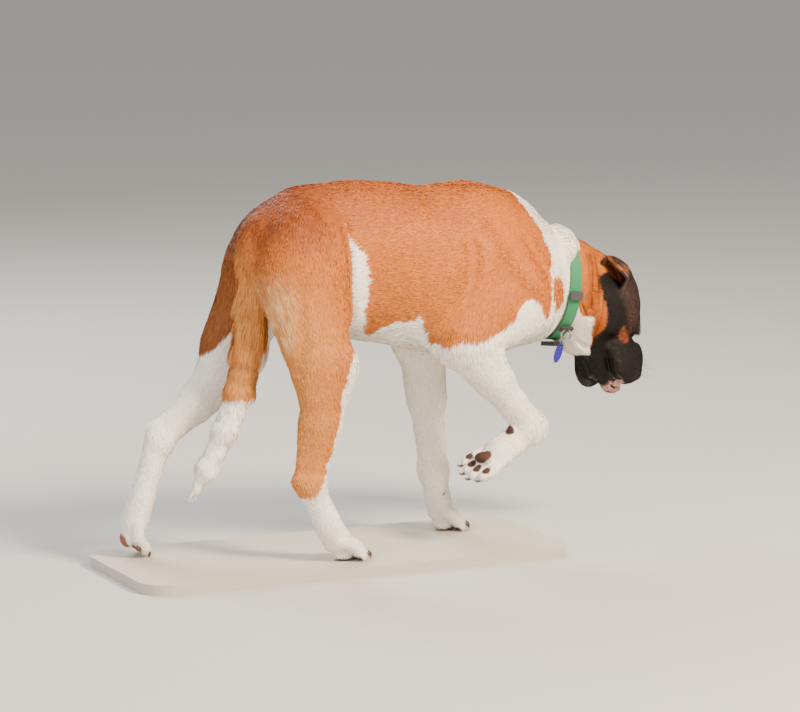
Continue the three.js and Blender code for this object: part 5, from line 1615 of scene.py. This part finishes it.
# %% Claws and whiskers
def claw_line(tip, forward, down, toe, length=0.0150):
    """A claw that leaves the top of a toe's end forward and curves down, never through the ground."""
    forward = unit(forward - down * (forward @ down))
    start = tip + forward * toe * 0.35 - down * toe * 0.15
    ends = (start, start + forward * length * 0.5 - down * length * 0.05,
            start + (forward * 0.85 + down * 0.10) * length, start + (forward + down * 0.60) * length)
    t = np.linspace(0, 1, 9)
    line = bezier(*ends, t)
    radii = length * (0.26 - 0.17 * t ** 1.3)
    line[:, 2] = np.maximum(line[:, 2], radii + 0.0004)
    return line, radii


claws = []
for paw in PAWS.values():
    for i in TOES:
        _, knuckle, tip = toe_line(paw, i)
        claws.append(claw_line(tip, tip - knuckle, unit(paw["down"]), paw["toe"]))
for root, tip in DEWCLAWS:
    claws.append(claw_line(np.array(tip), np.subtract(tip, root), unit([-1.0, 0, -0.4]), 0.006, 0.0100))
# Worn horn is brown with paler streaks and a dull shine
HORN_STREAKS = 260.0  # streaks in a metre, so each is about 4 mm wide
horn, tree, shader = new_material("claw horn, worn", Roughness=0.38, IOR=1.54)
here = add(tree, "ShaderNodeTexCoord")
growth = add(tree, "ShaderNodeTexNoise", {"Vector": here.outputs["Object"], "Scale": HORN_STREAKS,
                                          "Detail": 3.0})
horn_tone = add(tree, "ShaderNodeValToRGB", {"Fac": growth.outputs["Fac"]},
                stops=[(0.30, "#2B211B"), (0.55, "#54443A"), (0.75, "#7D6A58")])
tree.links.new(horn_tone.outputs["Color"], shader.inputs["Base Color"])
layers = add(tree, "ShaderNodeBump", {"Height": growth.outputs["Fac"], "Distance": 0.0002, "Strength": 0.4})
tree.links.new(layers.outputs["Normal"], shader.inputs["Normal"])
rods("claws", claws, horn, "dark_coat", 10)


def reach_out(depth, starts, ways, far, halvings=14):
    """How far each line runs from inside the flesh to its surface."""
    near, far = np.zeros(len(starts)), np.full(len(starts), far)
    for _ in range(halvings):
        middle = (near + far) / 2
        inside = depth(starts + ways * middle[:, None]) < 0
        near, far = np.where(inside, middle, near), np.where(inside, far, middle)
    return near


WHISKER_ROWS = {-0.020: (0.160, 0.146, 0.132), -0.034: (0.163, 0.150, 0.137, 0.124),
                -0.050: (0.156, 0.143, 0.130, 0.116)}
chance = np.random.default_rng(5)
whiskers = []
for side in (LEFT, RIGHT):
    beds = np.array([(x, 0.010, z) for z, row in WHISKER_ROWS.items() for x in row])
    beds = beds + chance.normal(0, 0.0012, beds.shape)
    starts = np.array([on_head(x, side * y, z) for x, y, z in beds])
    outward = np.tile(head_way(0.1, side, -0.05), (len(starts), 1))
    roots = starts + outward * reach_out(head.at, starts, outward, 0.070)[:, None]
    for root in roots:
        length = chance.uniform(0.026, 0.046)
        first = head_way(0.35, side * 0.9, -0.20) + chance.normal(0, 0.12, 3)
        then = head_way(-0.35, side * 0.55, -0.60) + chance.normal(0, 0.12, 3)
        line = bezier(root - first * 0.003, root + first * length * 0.4, root + first * length * 0.7,
                      root + (first * 0.7 + then * 0.35) * length, np.linspace(0, 1, 10))
        whiskers.append((line, np.linspace(0.00026, 0.00008, 10)))
# Whiskers are smooth and black, so that each one shows as a thin line of light
stiff_hair = new_material("whisker, stiff black hair", Base_Color=colour("#1B1513"), Roughness=0.4,
                          IOR=1.55)[0]
rods("whiskers", whiskers, stiff_hair, "dark_coat", 5)
print(len(claws), "claws and", len(whiskers), "whiskers")

# %% [markdown]
# ## The collar
# The collar is nylon webbing 25 mm wide, woven with a raised rib and two firmer edges. It is drawn round
# the neck as the solid is, and lies in the hair, while loose skin of the nape rolls over it on top.

# %% The webbing
TURNS = 180
SUNK = 0.0015
BAND_THICK = 0.0042
NECK_REACH = 0.16  # further than the neck is wide from its middle
side_way = unit(np.cross(COLLAR["way"], [0, 0, 1]))
up_way = np.cross(side_way, COLLAR["way"])
turn = np.linspace(0, 2 * math.pi, TURNS + 1)
ways = np.cos(turn)[:, None] * side_way + np.sin(turn)[:, None] * up_way
reaches = []
for k in (-0.3, 0.0, 0.3):
    centre = COLLAR["at"] + COLLAR["way"] * COLLAR["width"] * k
    reaches.append(reach_out(neck_flesh.at, np.tile(centre, (len(ways), 1)), ways, NECK_REACH))
near = np.mean(reaches, axis=0)
near = (np.roll(near[:-1], 1) + 2 * near[:-1] + np.roll(near[:-1], -1)) / 4
near = np.append(near, near[0])
length = np.append(0, np.cumsum(np.linalg.norm(np.diff(ways * near[:, None], axis=0), axis=1)))
half = COLLAR["width"] / 2
# Across the band and up from its underside, round the edge of a cut through it
HALF_CUT = [[0.93, 0], [1, 0.25], [1, 0.75], [0.96, 0.95], [0.90, 1], [0.84, 0.96], [0.5, 0.98]]
CUT = np.array([[-x, y] for x, y in HALF_CUT] + [[0, 1]] + HALF_CUT[::-1])
band = (COLLAR["at"] + COLLAR["way"] * (CUT[:, 0] * half)[None, :, None]
        + ways[:, None] * (near[:, None] - SUNK + BAND_THICK * CUT[:, 1])[..., None])
STITCH = 0.0021  # how far one thread shows on the face of the webbing before it dives under the next
THREAD_GAP = 0.00022
# Nylon threads are smooth, so the ribs of the weave catch small soft lights
webbing, tree, shader = new_material("nylon webbing, woven", Roughness=0.55, IOR=1.53, Sheen_Weight=0.06,
                                     Sheen_Roughness=0.4)
warp = add(tree, "ShaderNodeAttribute", attribute_name="along")
weft = add(tree, "ShaderNodeAttribute", attribute_name="across")
thread = add(tree, "ShaderNodeCombineXYZ", {"X": warp.outputs["Fac"], "Y": weft.outputs["Fac"]})
# The gaps between the threads are sunk by the bump and painted a darker green, as painted shade
weave_with_gap_shade = add(tree, "ShaderNodeTexBrick", {
    "Vector": thread.outputs["Vector"], "Scale": 1.0, "Brick Width": STITCH, "Row Height": STITCH / 2,
    "Mortar Size": THREAD_GAP, "Mortar Smooth": 1.0, "Color1": colour("#1D8B57"), "Color2": colour("#18804E"),
    "Mortar": colour("#0F5A36")}, offset=0.5)
tree.links.new(weave_with_gap_shade.outputs["Color"], shader.inputs["Base Color"])
ribs = add(tree, "ShaderNodeBump", {"Height": weave_with_gap_shade.outputs["Fac"], "Distance": 0.00035, "Strength": 0.8},
           invert=True)
tree.links.new(ribs.outputs["Normal"], shader.inputs["Normal"])
band_faces = ring_faces(TURNS + 1, len(CUT), False)
collar = new_piece("webbing_band", band.reshape(-1, 3), band_faces, webbing, "webbing")
value_layer(collar.data, "along", np.repeat(length, len(CUT)))
value_layer(collar.data, "across", np.tile(CUT[:, 0] * half, TURNS + 1))
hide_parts("collar_band")
print("the collar is", round(1000 * length[-1]), "mm round")

# %% [markdown]
# ## Fittings, tag and board
# The rings are bent from steel wire and plated bright, and the slide is steel with a dark plate. The buckle
# and the keeper are moulded from black acetal, a hard waxy plastic. The tag is anodised aluminium, and the
# board has matte paint put on with a roller, which leaves a fine stipple.

# %% Fittings, tag and board
def dress(material, *names):
    """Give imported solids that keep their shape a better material."""
    for name in names:
        frame["nodes"][name].material_slots[0].material = material


def finish_of(name, bump_scale, bump_depth, **principled):
    """A plain finish with the fine unevenness that its making leaves: waves in a metre, and their height."""
    material, tree, shader = new_material(name, **principled)
    here = add(tree, "ShaderNodeTexCoord")
    grain = add(tree, "ShaderNodeTexNoise",
                {"Vector": here.outputs["Object"], "Scale": bump_scale, "Detail": 3.0})
    uneven = add(tree, "ShaderNodeBump",
                 {"Height": grain.outputs["Fac"], "Distance": bump_depth, "Strength": 0.6})
    tree.links.new(uneven.outputs["Normal"], shader.inputs["Normal"])
    return material


# Nickel is a bright mirror, a little uneven from tumbling
steel = finish_of("steel, nickel plated", 350.0, 0.00004,
                  Base_Color=colour("#B9BABD"), Metallic=1.0, Roughness=0.20)
# Black nickel is the same mirror with most of its light held back
dark_plate = finish_of("steel, black nickel plated", 350.0, 0.00004,
                       Base_Color=colour("#5C5D61"), Metallic=1.0, Roughness=0.24)
# Acetal leaves its mould with a soft, waxy highlight
acetal = finish_of("acetal, moulded black", 900.0, 0.00006,
                   Base_Color=colour("#17181B"), Roughness=0.42, IOR=1.48)
# The dyed oxide keeps the metal's mirror and gives it a colour
anodised = finish_of("aluminium, anodised violet", 500.0, 0.00003,
                     Base_Color=colour("#4441AE"), Metallic=1.0, Roughness=0.30)
# Roller paint is dull, with a stipple of about 2 mm
roller_paint = finish_of("board, matte roller paint", 420.0, 0.00012,
                         Base_Color=colour("#B8B0A2"), Roughness=0.72, IOR=1.5)
dress(dark_plate, "collar_slide")
dress(steel, "collar_ring", "tag_ring")
dress(acetal, "collar_buckle", "collar_keeper")
dress(anodised, "tag")
dress(roller_paint, "stand_base")
print("five finishes on the fittings, the tag and the board")

# %% [markdown]
# ## Light and floor
# A plain pale floor, and soft studio light: the key from high on the camera's right, a broad weak fill from
# the left, and one light from behind that draws a rim along the back.

# %% The studio
FLOOR_SIZE = 90
floor_mesh = bpy.data.meshes.new("floor")
far = FLOOR_SIZE / 2
floor_mesh.from_pydata([(-far, -far, 0), (far, -far, 0), (far, far, 0), (-far, far, 0)], [], [(0, 1, 2, 3)])
floor = bpy.data.objects.new("floor", floor_mesh)
bpy.context.scene.collection.objects.link(floor)
paper = new_material("matte paper backdrop", Base_Color=colour("#BDBAB4"), Roughness=0.9)[0]
floor_mesh.materials.append(paper)


def area_light(name, place, size, power, tint="#FFFFFF"):
    """A square light that points at the middle of the dog."""
    data = bpy.data.lights.new(name, "AREA")
    data.shape = "SQUARE"
    data.size = size
    data.energy = power
    data.color = colour(tint)[:3]
    light = bpy.data.objects.new(name, data)
    light.location = place
    light.rotation_euler = (aim - light.location).to_track_quat("-Z", "Y").to_euler()
    bpy.context.scene.collection.objects.link(light)


area_light("key", (1.6, -3.0, 3.2), 1.2, 560, "#FFEBD0")
area_light("fill", (-3.2, -2.2, 1.8), 2.5, 110, "#FAFAFF")
area_light("rim", (-0.5, 3.2, 3.0), 1.8, 170)
world = bpy.data.worlds.new("studio")
bpy.context.scene.world = world
world.use_nodes = True
world.node_tree.nodes["Background"].inputs["Color"].default_value = colour("#E4E5E6")
world.node_tree.nodes["Background"].inputs["Strength"].default_value = 0.80
print("three lights and a pale room")
